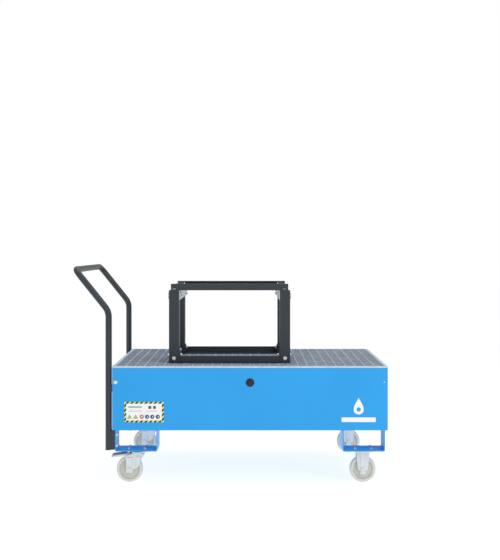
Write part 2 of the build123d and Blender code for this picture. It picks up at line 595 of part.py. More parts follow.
# ================================================================ swivel castors
swivel_centres = {side: (SWIVEL_X, way * BRACKET_Y) for side, way in SIDES.items()}
axle_x = -CASTOR_OFFSET
foot = SWIVEL_RIB_WIDTH / 2
swivel_foot = WHEEL_RADIUS - SWIVEL_FOOT_DROP
crown_reach = RACE_RADIUS + 1
ear_top = PEDAL_PIVOT_HEIGHT + PEDAL_EAR_RADIUS - 1
gusset_foot = WHEEL_RADIUS + GUSSET_FOOT
for side, (x, y) in swivel_centres.items():
    with BuildPart() as fork:
        # The raceway and the crown, bored for the kingpin.
        with BuildSketch(level(x, y, CROWN_TOP)):
            Circle(RACE_RADIUS)
        extrude(amount=PLATE_BOTTOM - RACE_GAP - CROWN_TOP)
        chamfer(fork.faces().sort_by(Axis.Z)[-1].edges(), 3)
        with BuildSketch(level(x, y, CROWN_TOP - CROWN_SHEET)):
            Rectangle(2 * crown_reach, 2 * FORK_OUTER)
        extrude(amount=CROWN_SHEET)
        # Gusset behind the wheel, from cheek to cheek.
        with BuildSketch(facing_long(x, y, 0)):
            with BuildLine():
                Polyline(
                    (CHEEK_REAR - FORK_SHEET, CROWN_TOP - CROWN_SHEET),
                    (crown_reach, CROWN_TOP - CROWN_SHEET),
                    (crown_reach, CROWN_TOP - 2 * CROWN_SHEET),
                    (CHEEK_REAR + FORK_SHEET, gusset_foot),
                    (CHEEK_REAR - FORK_SHEET, gusset_foot),
                    close=True,
                )
            make_face()
        extrude(amount=FORK_HALF + FORK_SHEET / 2, both=True)
        # Two cheeks, each with a pressed rib over the axle and another along its rear edge.
        for way in (-1, 1):
            cheek_plane = facing_long(x, y + way * FORK_HALF, 0, way)
            flip = -way
            with BuildSketch(cheek_plane):
                with BuildLine():
                    Polyline(
                        (flip * (axle_x + foot), WHEEL_RADIUS),
                        (flip * (axle_x + foot), swivel_foot),
                        (flip * (axle_x - foot), swivel_foot),
                        (flip * (axle_x - foot), WHEEL_DIAMETER - foot),
                        (flip * -CHEEK_FRONT, PEDAL_PIVOT_HEIGHT - PEDAL_EAR_RADIUS),
                        (flip * -CHEEK_FRONT, PEDAL_PIVOT_HEIGHT + 1),
                        (flip * (4 - CHEEK_FRONT), ear_top),
                        (flip * (axle_x - 2), ear_top),
                        (flip * -crown_reach, CROWN_TOP),
                        (flip * CHEEK_REAR, CROWN_TOP),
                        (flip * CHEEK_REAR, gusset_foot - FORK_SHEET),
                    )
                    Spline(
                        (flip * CHEEK_REAR, gusset_foot - FORK_SHEET),
                        (flip * CHEEK_REAR / 2, WHEEL_RADIUS + foot),
                        (flip * (axle_x + foot), WHEEL_RADIUS),
                    )
                make_face()
            extrude(amount=FORK_SHEET)
            rib_centre = (flip * axle_x, (swivel_foot + PEDAL_PIVOT_HEIGHT - PEDAL_EAR_RADIUS) / 2)
            rib_height = PEDAL_PIVOT_HEIGHT - PEDAL_EAR_RADIUS - swivel_foot
            with BuildSketch(cheek_plane.offset(FORK_SHEET)):
                with Locations(rib_centre):
                    Rectangle(SWIVEL_RIB_WIDTH - 1, rib_height - 1)
            extrude(amount=RIB_HEIGHT, taper=20)
            with BuildSketch(cheek_plane.offset(FORK_SHEET)):
                with BuildLine():
                    Polyline(
                        (flip * -REAR_RIB_EDGE, WHEEL_RADIUS + foot - 1),
                        (flip * -REAR_RIB_EDGE, PEDAL_PIVOT_HEIGHT),
                        (flip * (CHEEK_REAR - 1), PEDAL_PIVOT_HEIGHT),
                        (flip * (CHEEK_REAR - 1), gusset_foot - FORK_SHEET),
                        (flip * (CHEEK_REAR / 2 - 1), WHEEL_RADIUS + foot + 2),
                        close=True,
                    )
                make_face()
            extrude(amount=RIB_HEIGHT, taper=20)
        with BuildSketch(level(x, y, PLATE_BOTTOM)):
            Circle(KINGPIN_RADIUS + RUNNING_GAP)
        extrude(amount=-CASTOR_HEIGHT / 2, mode=Mode.SUBTRACT)
        with BuildSketch(facing_long(x + axle_x, y, WHEEL_RADIUS)):
            Circle(M12.shank / 2 + HOLE_GAP)
        extrude(amount=WHEEL_RADIUS, both=True, mode=Mode.SUBTRACT)
        with BuildSketch(facing_long(x - PEDAL_PIVOT_REACH, y, PEDAL_PIVOT_HEIGHT)):
            Circle(PEDAL_PIN_RADIUS + RUNNING_GAP)
        extrude(amount=WHEEL_RADIUS, both=True, mode=Mode.SUBTRACT)
    fork.part.label = f"swivel_fork_{side}"
    export_step(fork.part, f"parts/swivel_fork_{side}.step")

    swivel_axle = axle(x + axle_x, y)
    swivel_axle.part.label = f"swivel_axle_{side}"
    export_step(swivel_axle.part, f"parts/swivel_axle_{side}.step")

with BuildPart() as swivel_plates:
    with BuildSketch(*[level(x, y, PLATE_BOTTOM) for x, y in swivel_centres.values()]):
        RectangleRounded(PLATE_LENGTH, PLATE_WIDTH, 8)
        Circle(KINGPIN_RADIUS + PRESS_GAP, mode=Mode.SUBTRACT)
        with Locations(*plate_corners):
            Circle(M8.shank / 2 + HOLE_GAP, mode=Mode.SUBTRACT)
    extrude(amount=PLATE_SHEET)
swivel_plates.part.label = "swivel_plates"
export_step(swivel_plates.part, "parts/swivel_plates.step")

kingpin_head_top = CROWN_TOP - CROWN_SHEET - RACE_GAP
with BuildPart() as kingpins:
    with BuildSketch(*[level(x, y, kingpin_head_top) for x, y in swivel_centres.values()]):
        Circle(KINGPIN_RADIUS)
    extrude(amount=CASTOR_HEIGHT - kingpin_head_top)
    with BuildSketch(*[level(x, y, kingpin_head_top) for x, y in swivel_centres.values()]):
        Circle(KINGPIN_HEAD_RADIUS)
    extrude(amount=-KINGPIN_HEAD, taper=15)
kingpins.part.label = "kingpins"
export_step(kingpins.part, "parts/kingpins.step")

# ================================================================ brake pedals
slope = math.radians(PEDAL_SLOPE)
pivot_run = PEDAL_PIVOT_REACH - PEDAL_START
pivot_rise = PEDAL_PIVOT_HEIGHT - PEDAL_START_HEIGHT
pivot_along = pivot_run * math.cos(slope) - pivot_rise * math.sin(slope)
pivot_under = pivot_run * math.sin(slope) + pivot_rise * math.cos(slope)
ear_sheet = (FORK_GAP - PEDAL_EAR_INNER) / 2 - 0.8
for side, (x, y) in swivel_centres.items():
    # The pedal's own plane: x runs outwards down the slope and y stands on the tread.
    pedal_plane = Plane(
        origin=(x - PEDAL_START, y, PEDAL_START_HEIGHT),
        x_dir=(-math.cos(slope), 0, -math.sin(slope)),
        z_dir=(0, 1, 0),
    )
    with BuildPart() as pedal:
        with BuildSketch(pedal_plane):
            with BuildLine():
                Polyline(
                    (0, 0),
                    (PEDAL_LENGTH, 0),
                    (PEDAL_LENGTH, -6),
                    (PEDAL_LENGTH + PEDAL_SHEET, -6),
                    (PEDAL_LENGTH + PEDAL_SHEET, PEDAL_SHEET),
                    (0, PEDAL_SHEET),
                    close=True,
                )
            make_face()
        extrude(amount=PEDAL_WIDTH / 2, both=True)
        for way in (-1, 1):
            with BuildSketch(pedal_plane.offset(way * (PEDAL_EAR_INNER + ear_sheet) / 2)):
                with BuildLine():
                    Polyline(
                        (pivot_along - PEDAL_EAR_RADIUS, 0),
                        (pivot_along - PEDAL_EAR_RADIUS, pivot_under),
                    )
                    ThreePointArc(
                        (pivot_along - PEDAL_EAR_RADIUS, pivot_under),
                        (pivot_along, pivot_under - PEDAL_EAR_RADIUS),
                        (pivot_along + PEDAL_EAR_RADIUS, pivot_under),
                    )
                    Polyline(
                        (pivot_along + PEDAL_EAR_RADIUS, pivot_under),
                        (PEDAL_LENGTH, -6),
                        (PEDAL_LENGTH, 0),
                        (pivot_along - PEDAL_EAR_RADIUS, 0),
                    )
                make_face()
            extrude(amount=ear_sheet / 2, both=True)
        with BuildSketch(facing_long(x - PEDAL_PIVOT_REACH, y, PEDAL_PIVOT_HEIGHT)):
            Circle(PEDAL_PIN_RADIUS)
        extrude(amount=FORK_OUTER + 1, both=True)
    pedal.part.label = f"brake_pedal_{side}"
    export_step(pedal.part, f"parts/brake_pedal_{side}.step")

    tooth_pitch = PEDAL_LENGTH / PAD_TEETH
    crests = [
        ((tooth + step) * tooth_pitch, PEDAL_SHEET + PAD_THICKNESS - (1 - level_share) * PAD_TOOTH)
        for tooth in range(PAD_TEETH)
        for step, level_share in ((0.0, 0.0), (0.25, 1.0), (0.75, 1.0))
    ]
    with BuildPart() as pad:
        with BuildSketch(pedal_plane):
            with BuildLine():
                Polyline(
                    (0, PEDAL_SHEET),
                    *crests,
                    (PEDAL_LENGTH, PEDAL_SHEET + PAD_THICKNESS - PAD_TOOTH),
                    (PEDAL_LENGTH, PEDAL_SHEET),
                    close=True,
                )
            make_face()
        extrude(amount=PEDAL_WIDTH / 2, both=True)
    pad.part.label = f"brake_pad_{side}"
    export_step(pad.part, f"parts/brake_pad_{side}.step")

# ================================================================ fixed castors
fixed_centres = {side: (FIXED_X, way * BRACKET_Y) for side, way in SIDES.items()}
fork_foot = WHEEL_RADIUS - FIXED_FOOT_DROP
cheek_half = [
    (FIXED_RIB_WIDTH / 2, fork_foot),
    (FIXED_RIB_WIDTH / 2, WHEEL_RADIUS - FIXED_FOOT_DROP / 3),
    (FIXED_FORK_FOOT / 2, WHEEL_RADIUS),
    (FIXED_FORK_TOP / 2, PLATE_BOTTOM - FIXED_FORK_SHOULDER),
    (FIXED_FORK_TOP / 2, PLATE_BOTTOM),
]
cheek_mirrored = [(-across, height) for across, height in reversed(cheek_half)]
for side, (x, y) in fixed_centres.items():
    with BuildPart() as fork:
        with BuildSketch(level(x, y, PLATE_BOTTOM)):
            RectangleRounded(PLATE_LENGTH, PLATE_WIDTH, 8)
            with Locations(*plate_corners):
                Circle(M8.shank / 2 + HOLE_GAP, mode=Mode.SUBTRACT)
        extrude(amount=PLATE_SHEET)
        for way in (-1, 1):
            cheek_plane = facing_long(x, y + way * FORK_HALF, 0, way)
            with BuildSketch(cheek_plane):
                with BuildLine():
                    Polyline(*cheek_half, *cheek_mirrored, close=True)
                make_face()
            extrude(amount=FORK_SHEET)
            with BuildSketch(cheek_plane.offset(FORK_SHEET)):
                with Locations((0, (fork_foot + PLATE_BOTTOM) / 2)):
                    Rectangle(FIXED_RIB_WIDTH, PLATE_BOTTOM - fork_foot)
            extrude(amount=RIB_HEIGHT)
        with BuildSketch(facing_long(x, y, WHEEL_RADIUS)):
            Circle(M12.shank / 2 + HOLE_GAP)
        extrude(amount=WHEEL_RADIUS, both=True, mode=Mode.SUBTRACT)
    fork.part.label = f"fixed_fork_{side}"
    export_step(fork.part, f"parts/fixed_fork_{side}.step")

front_axle = axle(*fixed_centres["front"])
rear_axle = axle(*fixed_centres["rear"])
with BuildPart() as fixed_axles:
    add(front_axle.part)
    add(rear_axle.part)
fixed_axles.part.label = "fixed_axles"
export_step(fixed_axles.part, "parts/fixed_axles.step")

# ================================================================ drum stand
corners = {
    "front_left": (-1, -1),
    "front_right": (1, -1),
    "rear_left": (-1, 1),
    "rear_right": (1, 1),
}
low_long_planes = [
    facing_long(STAND_X + ix * UPRIGHT_X, STAND_Y + iy * STAND_DEPTH / 2, DECK + LOW_BOLT_FRONT, iy)
    for ix, iy in corners.values()
]
low_end_planes = [
    facing_end(STAND_X + ix * STAND_WIDTH / 2, STAND_Y + iy * UPRIGHT_Y, DECK + LOW_BOLT_SIDE, ix)
    for ix, iy in corners.values()
]
high_planes = [
    facing_end(STAND_X + ix * STAND_WIDTH / 2, STAND_Y + iy * UPRIGHT_Y, UPRIGHT_TOP - drop, ix)
    for ix, iy in corners.values()
    for drop in (CRADLE_BOLT_LOW, CRADLE_BOLT_HIGH)
]
rail_bolt_planes = [
    level(STAND_X + ix * WINDOW_CENTRE, STAND_Y + iy * RAIL_BOLT_Y, UPRIGHT_TOP + TOP_RAIL_SHEET)
    for ix, iy in corners.values()
]

for place, (ix, iy) in corners.items():
    with BuildPart() as upright:
        with BuildSketch(level(STAND_X + ix * UPRIGHT_X, STAND_Y + iy * UPRIGHT_Y, DECK)):
            RectangleRounded(UPRIGHT, UPRIGHT, UPRIGHT_WALL)
            RectangleRounded(UPRIGHT - 2 * UPRIGHT_WALL, UPRIGHT - 2 * UPRIGHT_WALL, 1, mode=Mode.SUBTRACT)
        extrude(amount=UPRIGHT_TOP - DECK)
        with BuildSketch(level(STAND_X + ix * UPRIGHT_X, STAND_Y + iy * UPRIGHT_Y, UPRIGHT_TOP)):
            RectangleRounded(UPRIGHT, UPRIGHT, UPRIGHT_WALL)
        extrude(amount=-UPRIGHT_WALL)
        with BuildSketch(*low_long_planes, *low_end_planes):
            Circle(M10.shank / 2 + HOLE_GAP)
        extrude(amount=-UPRIGHT, mode=Mode.SUBTRACT)
        with BuildSketch(*high_planes):
            Circle(M8.shank / 2 + HOLE_GAP)
        extrude(amount=-UPRIGHT, mode=Mode.SUBTRACT)
        with BuildSketch(*rail_bolt_planes):
            Circle(M10.shank / 2 + HOLE_GAP)
        extrude(amount=-UPRIGHT, mode=Mode.SUBTRACT)
    upright.part.label = f"stand_upright_{place}"
    export_step(upright.part, f"parts/stand_upright_{place}.step")

# Low rails: angles between the uprights, with a bolted tab at each end.
for side, way in SIDES.items():
    face = STAND_Y + way * STAND_DEPTH / 2
    with BuildPart() as rail:
        with BuildSketch(level(STAND_X, face - way * RAIL_SHEET / 2, DECK)):
            Rectangle(2 * INSIDE_X, RAIL_SHEET)
        extrude(amount=RAIL_LEG)
        with BuildSketch(level(STAND_X, face - way * RAIL_LEG / 2, DECK)):
            Rectangle(2 * INSIDE_X, RAIL_LEG)
        extrude(amount=RAIL_SHEET)
        for ix in (-1, 1):
            tab_x = STAND_X + ix * (INSIDE_X - RAIL_SHEET / 2)
            with BuildSketch(level(tab_x, STAND_Y + way * UPRIGHT_Y, DECK)):
                Rectangle(RAIL_SHEET, UPRIGHT)
            extrude(amount=TAB_HEIGHT)
        with BuildSketch(*low_end_planes):
            Circle(M10.shank / 2 + HOLE_GAP)
        extrude(amount=-UPRIGHT - 2 * RAIL_SHEET, mode=Mode.SUBTRACT)
    rail.part.label = f"low_rail_{side}"
    export_step(rail.part, f"parts/low_rail_{side}.step")

for end, way in {"left": -1, "right": 1}.items():
    face = STAND_X + way * STAND_WIDTH / 2
    with BuildPart() as rail:
        with BuildSketch(level(face - way * RAIL_SHEET / 2, STAND_Y, DECK)):
            Rectangle(RAIL_SHEET, 2 * INSIDE_Y)
        extrude(amount=RAIL_LEG)
        with BuildSketch(level(face - way * RAIL_LEG / 2, STAND_Y, DECK)):
            Rectangle(RAIL_LEG, 2 * INSIDE_Y)
        extrude(amount=RAIL_SHEET)
        for iy in (-1, 1):
            tab_y = STAND_Y + iy * (INSIDE_Y - RAIL_SHEET / 2)
            with BuildSketch(level(STAND_X + way * UPRIGHT_X, tab_y, DECK)):
                Rectangle(UPRIGHT, RAIL_SHEET)
            extrude(amount=TAB_HEIGHT)
        with BuildSketch(*low_long_planes):
            Circle(M10.shank / 2 + HOLE_GAP)
        extrude(amount=-UPRIGHT - 2 * RAIL_SHEET, mode=Mode.SUBTRACT)
    rail.part.label = f"low_rail_{end}"
    export_step(rail.part, f"parts/low_rail_{end}.step")

# Top rails: channels that lie on the uprights' caps, with a window at each end for the bolt head.
top_rail_length = STAND_WIDTH - 2 * TOP_RAIL_INSET
for side, way in SIDES.items():
    face = STAND_Y + way * STAND_DEPTH / 2
    with BuildPart() as rail:
        with BuildSketch(level(STAND_X, face - way * UPRIGHT / 2, UPRIGHT_TOP)):
            Rectangle(top_rail_length, UPRIGHT)
        extrude(amount=TOP_RAIL_SHEET)
        with BuildSketch(level(STAND_X, face - way * TOP_RAIL_SHEET / 2, UPRIGHT_TOP)):
            Rectangle(top_rail_length, TOP_RAIL_SHEET)
        extrude(amount=TOP_RAIL_HEIGHT)
        with BuildSketch(level(STAND_X, face - way * TOP_RAIL_LIP / 2, STAND_TOP)):
            Rectangle(top_rail_length, TOP_RAIL_LIP)
        extrude(amount=-TOP_RAIL_SHEET)
        with BuildSketch(facing_long(STAND_X, face, UPRIGHT_TOP + TOP_RAIL_SHEET + WINDOW_HEIGHT / 2, way)):
            with Locations((-WINDOW_CENTRE, 0), (WINDOW_CENTRE, 0)):
                RectangleRounded(WINDOW_LENGTH, WINDOW_HEIGHT, 2)
        extrude(amount=-2 * TOP_RAIL_SHEET, mode=Mode.SUBTRACT)
        with BuildSketch(*rail_bolt_planes):
            Circle(M10.shank / 2 + HOLE_GAP)
        extrude(amount=-2 * TOP_RAIL_SHEET, mode=Mode.SUBTRACT)
    rail.part.label = f"top_rail_{side}"
    export_step(rail.part, f"parts/top_rail_{side}.step")

# Cradle plates: the top edge is cut back from the drum, and the wings bolt to the uprights.
plate_foot = UPRIGHT_TOP - CRADLE_FOOT_DROP
plate_wing = UPRIGHT_TOP - 2
plate_high = STAND_TOP - CRADLE_HIGH_DROP
bed_radius = DRUM_RADIUS + DRUM_CLEARANCE
bed_half = math.sqrt(bed_radius**2 - (DRUM_Z - plate_high) ** 2)
plate_shoulder = ROLLER_SPREAD + 1.25 * ROLLER_DIAMETER / 2
roller_places = {
    place: (ix * (INSIDE_X + ROLLER_SIDE_GAP + ROLLER_WIDTH / 2), iy * ROLLER_SPREAD)
    for place, (ix, iy) in corners.items()
}
pin_planes = [
    facing_end(STAND_X + ix * (INSIDE_X - CRADLE_SHEET), STAND_Y + iy * ROLLER_SPREAD, ROLLER_Z, -ix)
    for ix, iy in corners.values()
]
with BuildPart() as cradle_plates:
    for way in (-1, 1):
        with BuildSketch(facing_end(STAND_X + way * INSIDE_X, STAND_Y, 0, -way)):
            with BuildLine():
                Polyline(
                    (-bed_half, plate_high),
                    (-plate_shoulder, plate_high),
                    (-INSIDE_Y + 2, plate_wing),
                    (-STAND_DEPTH / 2, plate_wing),
                    (-STAND_DEPTH / 2, plate_foot),
                    (STAND_DEPTH / 2, plate_foot),
                    (STAND_DEPTH / 2, plate_wing),
                    (INSIDE_Y - 2, plate_wing),
                    (plate_shoulder, plate_high),
                    (bed_half, plate_high),
                )
                ThreePointArc((bed_half, plate_high), (0, DRUM_Z - bed_radius), (-bed_half, plate_high))
            make_face()
        extrude(amount=CRADLE_SHEET)
    with BuildSketch(*high_planes):
        Circle(M8.shank / 2 + HOLE_GAP)
    extrude(amount=-UPRIGHT - 2 * CRADLE_SHEET, mode=Mode.SUBTRACT)
    with BuildSketch(*pin_planes):
        Circle(PIN_RADIUS + THREAD_GAP)
    extrude(amount=-2 * CRADLE_SHEET, mode=Mode.SUBTRACT)
cradle_plates.part.label = "cradle_plates"
export_step(cradle_plates.part, "parts/cradle_plates.step")

for place, (dx, dy) in roller_places.items():
    roller_plane = facing_end(STAND_X + dx, STAND_Y + dy, ROLLER_Z)
    with BuildPart() as roller:
        with BuildSketch(roller_plane):
            Circle(ROLLER_DIAMETER / 2)
        extrude(amount=ROLLER_WIDTH / 2, both=True)
        fillet(roller.edges().filter_by(GeomType.CIRCLE), 2)
        with BuildSketch(roller_plane):
            Circle(PIN_RADIUS + RUNNING_GAP)
        extrude(amount=ROLLER_WIDTH, both=True, mode=Mode.SUBTRACT)
    roller.part.label = f"roller_{place}"
    export_step(roller.part, f"parts/roller_{place}.step")

pin_span = CRADLE_SHEET + 2 * ROLLER_SIDE_GAP + ROLLER_WIDTH
with BuildPart() as roller_pins:
    with BuildSketch(*pin_planes):
        Circle(PIN_HEAD_RADIUS)
    extrude(amount=PIN_HEAD)
    with BuildSketch(*pin_planes):
        Circle(PIN_RADIUS)
    extrude(amount=-pin_span)
    with BuildSketch(*[plane.offset(-pin_span) for plane in pin_planes]):
        Circle(PIN_HEAD_RADIUS)
    extrude(amount=-PIN_HEAD)
roller_pins.part.label = "roller_pins"
export_step(roller_pins.part, "parts/roller_pins.step")

low_grip = UPRIGHT + RAIL_SHEET
high_grip = UPRIGHT + CRADLE_SHEET
rail_grip = TOP_RAIL_SHEET + UPRIGHT_WALL
foot_bolts = hex_bolts(M10, low_grip + M10.nut + BOLT_END, low_long_planes + low_end_planes)
cradle_bolts = hex_bolts(M8, high_grip + M8.nut + BOLT_END, high_planes)
rail_bolts = hex_bolts(M10, rail_grip + M10.nut, rail_bolt_planes)
with BuildPart() as stand_bolts:
    add(foot_bolts.part)
    add(cradle_bolts.part)
    add(rail_bolts.part)
stand_bolts.part.label = "stand_bolts"
export_step(stand_bolts.part, "parts/stand_bolts.step")

foot_nuts = hex_nuts(M10, turned_back(low_long_planes + low_end_planes, low_grip))
cradle_nuts = hex_nuts(M8, turned_back(high_planes, high_grip))
rail_nuts = hex_nuts(M10, turned_back(rail_bolt_planes, rail_grip))
with BuildPart() as stand_nuts:
    add(foot_nuts.part)
    add(cradle_nuts.part)
    add(rail_nuts.part)
stand_nuts.part.label = "stand_nuts"
export_step(stand_nuts.part, "parts/stand_nuts.step")
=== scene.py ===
"""Looks of the spill-tray drum dolly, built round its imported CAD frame.

Every length is in metres and every place is worked out from the frame's own nodes. The CAD nodes that keep
their shape are only given finishes. The others are stood in for by finer surfaces, worked out with numpy.
"""

import logging
import math
from dataclasses import dataclass, field
from enum import Enum

import bpy
import numpy as np
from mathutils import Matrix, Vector


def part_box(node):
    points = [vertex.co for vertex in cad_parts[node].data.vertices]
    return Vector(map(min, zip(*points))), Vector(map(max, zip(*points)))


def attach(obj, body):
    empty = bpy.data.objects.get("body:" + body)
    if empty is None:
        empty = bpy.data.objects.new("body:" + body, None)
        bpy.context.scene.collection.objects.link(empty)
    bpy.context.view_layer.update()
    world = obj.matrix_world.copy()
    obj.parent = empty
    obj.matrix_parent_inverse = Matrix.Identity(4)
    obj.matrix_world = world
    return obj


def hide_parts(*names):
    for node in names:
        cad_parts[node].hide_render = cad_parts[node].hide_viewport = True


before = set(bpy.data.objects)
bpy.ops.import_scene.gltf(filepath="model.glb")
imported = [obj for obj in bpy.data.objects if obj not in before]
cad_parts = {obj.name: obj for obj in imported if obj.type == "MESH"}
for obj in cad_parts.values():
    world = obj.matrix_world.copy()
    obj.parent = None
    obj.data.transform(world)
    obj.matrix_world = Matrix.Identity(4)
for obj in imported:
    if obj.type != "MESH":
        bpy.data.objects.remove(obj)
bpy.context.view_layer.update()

logging.basicConfig(level=logging.INFO, format="%(name)s: %(message)s")
log = logging.getLogger("drum_dolly")

Array = np.ndarray
Point = tuple[float, float, float]
Colour = tuple[float, float, float, float]
Box = tuple[Array, Array]
Seat = tuple[Point, Point]
Material = bpy.types.Material
Node = bpy.types.Node
NodeTree = bpy.types.NodeTree
Socket = bpy.types.NodeSocket
Inputs = dict[str | int, object]

X_AXIS: Point = (1.0, 0.0, 0.0)
Y_AXIS: Point = (0.0, 1.0, 0.0)
Z_AXIS: Point = (0.0, 0.0, 1.0)


class Slot(Enum):
    """The record's material slots, by what each finish is."""

    TRAY_PAINT = "tray_paint"
    ANTHRACITE = "anthracite_paint"
    GALVANISED = "galvanised"
    ZINC = "zinc"
    NYLON = "wheel_nylon"
    RUBBER = "dark_rubber"
    PLASTIC = "dark_plastic"
    FILM = "label_film"


def srgb(red: int, green: int, blue: int) -> Colour:
    """Linear colour of an 8-bit screen colour.

    Args:
        red: Red from 0 to 255.
        green: Green from 0 to 255.
        blue: Blue from 0 to 255.

    Returns:
        The colour as linear red, green, blue and an alpha of one.
    """
    shares = np.array([red, green, blue]) / 255.0
    linear = np.where(shares <= 0.04045, shares / 12.92, ((shares + 0.055) / 1.055) ** 2.4)
    return (float(linear[0]), float(linear[1]), float(linear[2]), 1.0)


# ------------------------------------------------------------------ surfaces
@dataclass
class Surface:
    """A closed or open skin: its points, its four-sided faces and its flat end faces.

    Args:
        points: One row of three numbers for each point.
        quads: One row of four point numbers for each face.
        ends: The flat faces of more than four sides, each as a row of point numbers.
    """

    points: Array
    quads: Array
    ends: list[Array] = field(default_factory=list)

    def volume(self) -> float:
        """Signed volume: the sum over the faces' triangles of a . (b x c) / 6.

        Returns:
            The volume, which is below zero if the faces point inwards.
        """
        corners = self.points[self.quads]
        halves = np.concatenate([corners[:, [0, 1, 2]], corners[:, [0, 2, 3]]])
        for end in self.ends:
            fan = np.stack([np.full(len(end) - 2, end[0]), end[1:-1], end[2:]], axis=1)
            halves = np.concatenate([halves, self.points[fan]])
        return float(np.einsum("ij,ij->i", halves[:, 0], np.cross(halves[:, 1], halves[:, 2])).sum() / 6)

    def outward(self) -> "Surface":
        """The same skin, turned over if its faces point inwards.

        Returns:
            The skin with its faces outwards.
        """
        if self.volume() >= 0:
            return self
        return Surface(self.points, self.quads[:, ::-1], [end[::-1] for end in self.ends])

    def placed(self, origin: Point, x_axis: Point = X_AXIS, z_axis: Point = Z_AXIS) -> "Surface":
        """The skin carried from its own axes to a place.

        Args:
            origin: Where the skin's own origin goes.
            x_axis: Direction of its own x.
            z_axis: Direction of its own z.

        Returns:
            The placed skin: origin + x * x_axis + y * (z_axis x x_axis) + z * z_axis.
        """
        z = np.array(z_axis, float) / np.linalg.norm(z_axis)
        x = np.array(x_axis, float) - np.dot(x_axis, z) * z
        x /= np.linalg.norm(x)
        axes = np.stack([x, np.cross(z, x), z])
        return Surface(self.points @ axes + np.array(origin, float), self.quads, self.ends)


def joined(parts: list[Surface]) -> Surface:
    """Several skins as one, with each part's point numbers moved past those before it.

    Args:
        parts: The skins.

    Returns:
        The one skin.
    """
    starts = np.cumsum([0] + [len(part.points) for part in parts])[:-1]
    points = np.concatenate([part.points for part in parts])
    quads = np.concatenate([part.quads + start for part, start in zip(parts, starts)])
    ends = [end + start for part, start in zip(parts, starts) for end in part.ends]
    return Surface(points, quads, ends)


def rings(rows: Array, looped: bool = False) -> Surface:
    """Skin over a stack of closed rings.

    Args:
        rows: Ring by ring, the points of each ring in order, as (rings, points, 3).
        looped: True if the last ring joins the first, which leaves no ends.

    Returns:
        The skin: quad (i, j) joins points j and j + 1 of ring i to those of ring i + 1.
    """
    count, around = rows.shape[:2]
    i = np.arange(count if looped else count - 1)[:, None]
    j = np.arange(around)[None, :]
    following = (i + 1) % count
    beside = (j + 1) % around
    quads = np.stack(
        [i * around + j, i * around + beside, following * around + beside, following * around + j], axis=-1
    )
    ends = [] if looped else [np.arange(around)[::-1], (count - 1) * around + np.arange(around)]
    return Surface(rows.reshape(-1, 3), quads.reshape(-1, 4), ends).outward()


def turned(profile: Array, around: int = 64, looped: bool = False) -> Surface:
    """Surface of revolution about its own z: (r, h) goes to (r cos t, r sin t, h).

    Args:
        profile: Radius and height of each point of the outline.
        around: Points in each ring.
        looped: True if the outline closes on itself, as a ring's does.

    Returns:
        The turned skin.
    """
    angle = np.linspace(0, 2 * np.pi, around, endpoint=False)
    radius = profile[:, 0][:, None]
    height = np.broadcast_to(profile[:, 1][:, None], (len(profile), around))
    return rings(np.stack([radius * np.cos(angle), radius * np.sin(angle), height], axis=-1), looped)


def rounded_profile(corners: list[tuple[float, float, float]], steps: int = 5) -> Array:
    """Outline through corners, each rounded by an arc of its own radius.

    Each arc is the quadratic curve a(1-t)^2 + 2c t(1-t) + b t^2 about its corner c, from a point a radius
    before the corner to one a radius after it.

    Args:
        corners: The outline's corners in order, as (x, y, radius), taken as a closed loop.
        steps: Points along each arc, less one.

    Returns:
        The outline's points, as (n, 2).
    """
    spots = np.array([corner[:2] for corner in corners])
    radii = np.array([corner[2] for corner in corners])[:, None]
    to_last = np.roll(spots, 1, axis=0) - spots
    to_next = np.roll(spots, -1, axis=0) - spots
    start = spots + radii * to_last / np.linalg.norm(to_last, axis=1, keepdims=True)
    finish = spots + radii * to_next / np.linalg.norm(to_next, axis=1, keepdims=True)
    t = np.linspace(0, 1, steps + 1)[None, :, None]
    arcs = start[:, None] * (1 - t) ** 2 + 2 * spots[:, None] * t * (1 - t) + finish[:, None] * t**2
    flat = arcs.reshape(-1, 2)
    keep = np.linalg.norm(flat - np.roll(flat, 1, axis=0), axis=1) > 1e-7
    return flat[keep]


def inset(outline: Array, distance: float) -> Array:
    """Outline moved inwards by a distance, corner by corner along the mitre of its two sides.

    Args:
        outline: The outline, as (n, 2).
        distance: How far each side moves.

    Returns:
        The moved outline.
    """
    ahead = np.roll(outline, -1, axis=0) - outline
    ahead /= np.linalg.norm(ahead, axis=1, keepdims=True)
    behind = np.roll(ahead, 1, axis=0)
    left = np.stack([-ahead[:, 1], ahead[:, 0]], axis=1)
    mitre = left + np.stack([-behind[:, 1], behind[:, 0]], axis=1)
    mitre /= np.maximum(np.einsum("ij,ij->i", mitre, left), 0.3)[:, None]
    x, y = outline.T
    turning = np.sign(np.sum(x * np.roll(y, -1) - np.roll(x, -1) * y))
    return outline + turning * distance * mitre


def slab(outline: Array, thickness: float, edge: float, steps: int = 3) -> Surface:
    """Plate with rounded edges: the outline is stacked along z, drawn in by a quarter round at each face.

    At the angle p the outline is drawn in by edge (1 - sin p) and stands edge (1 - cos p) from its face.

    Args:
        outline: The plate's outline, as (n, 2).
        thickness: From face to face, along z.
        edge: Radius of the rounded edges.
        steps: Rings in each quarter round, less one.

    Returns:
        The plate, with its first face at z = 0.
    """
    angle = np.linspace(0, np.pi / 2, steps + 1)
    drawn = edge * (1 - np.sin(angle))
    stood = edge * (1 - np.cos(angle))
    insets = np.concatenate([drawn, drawn[::-1]])
    heights = np.concatenate([stood, thickness - stood[::-1]])
    rows = [np.column_stack([inset(outline, d), np.full(len(outline), h)]) for d, h in zip(insets, heights)]
    return rings(np.stack(rows))


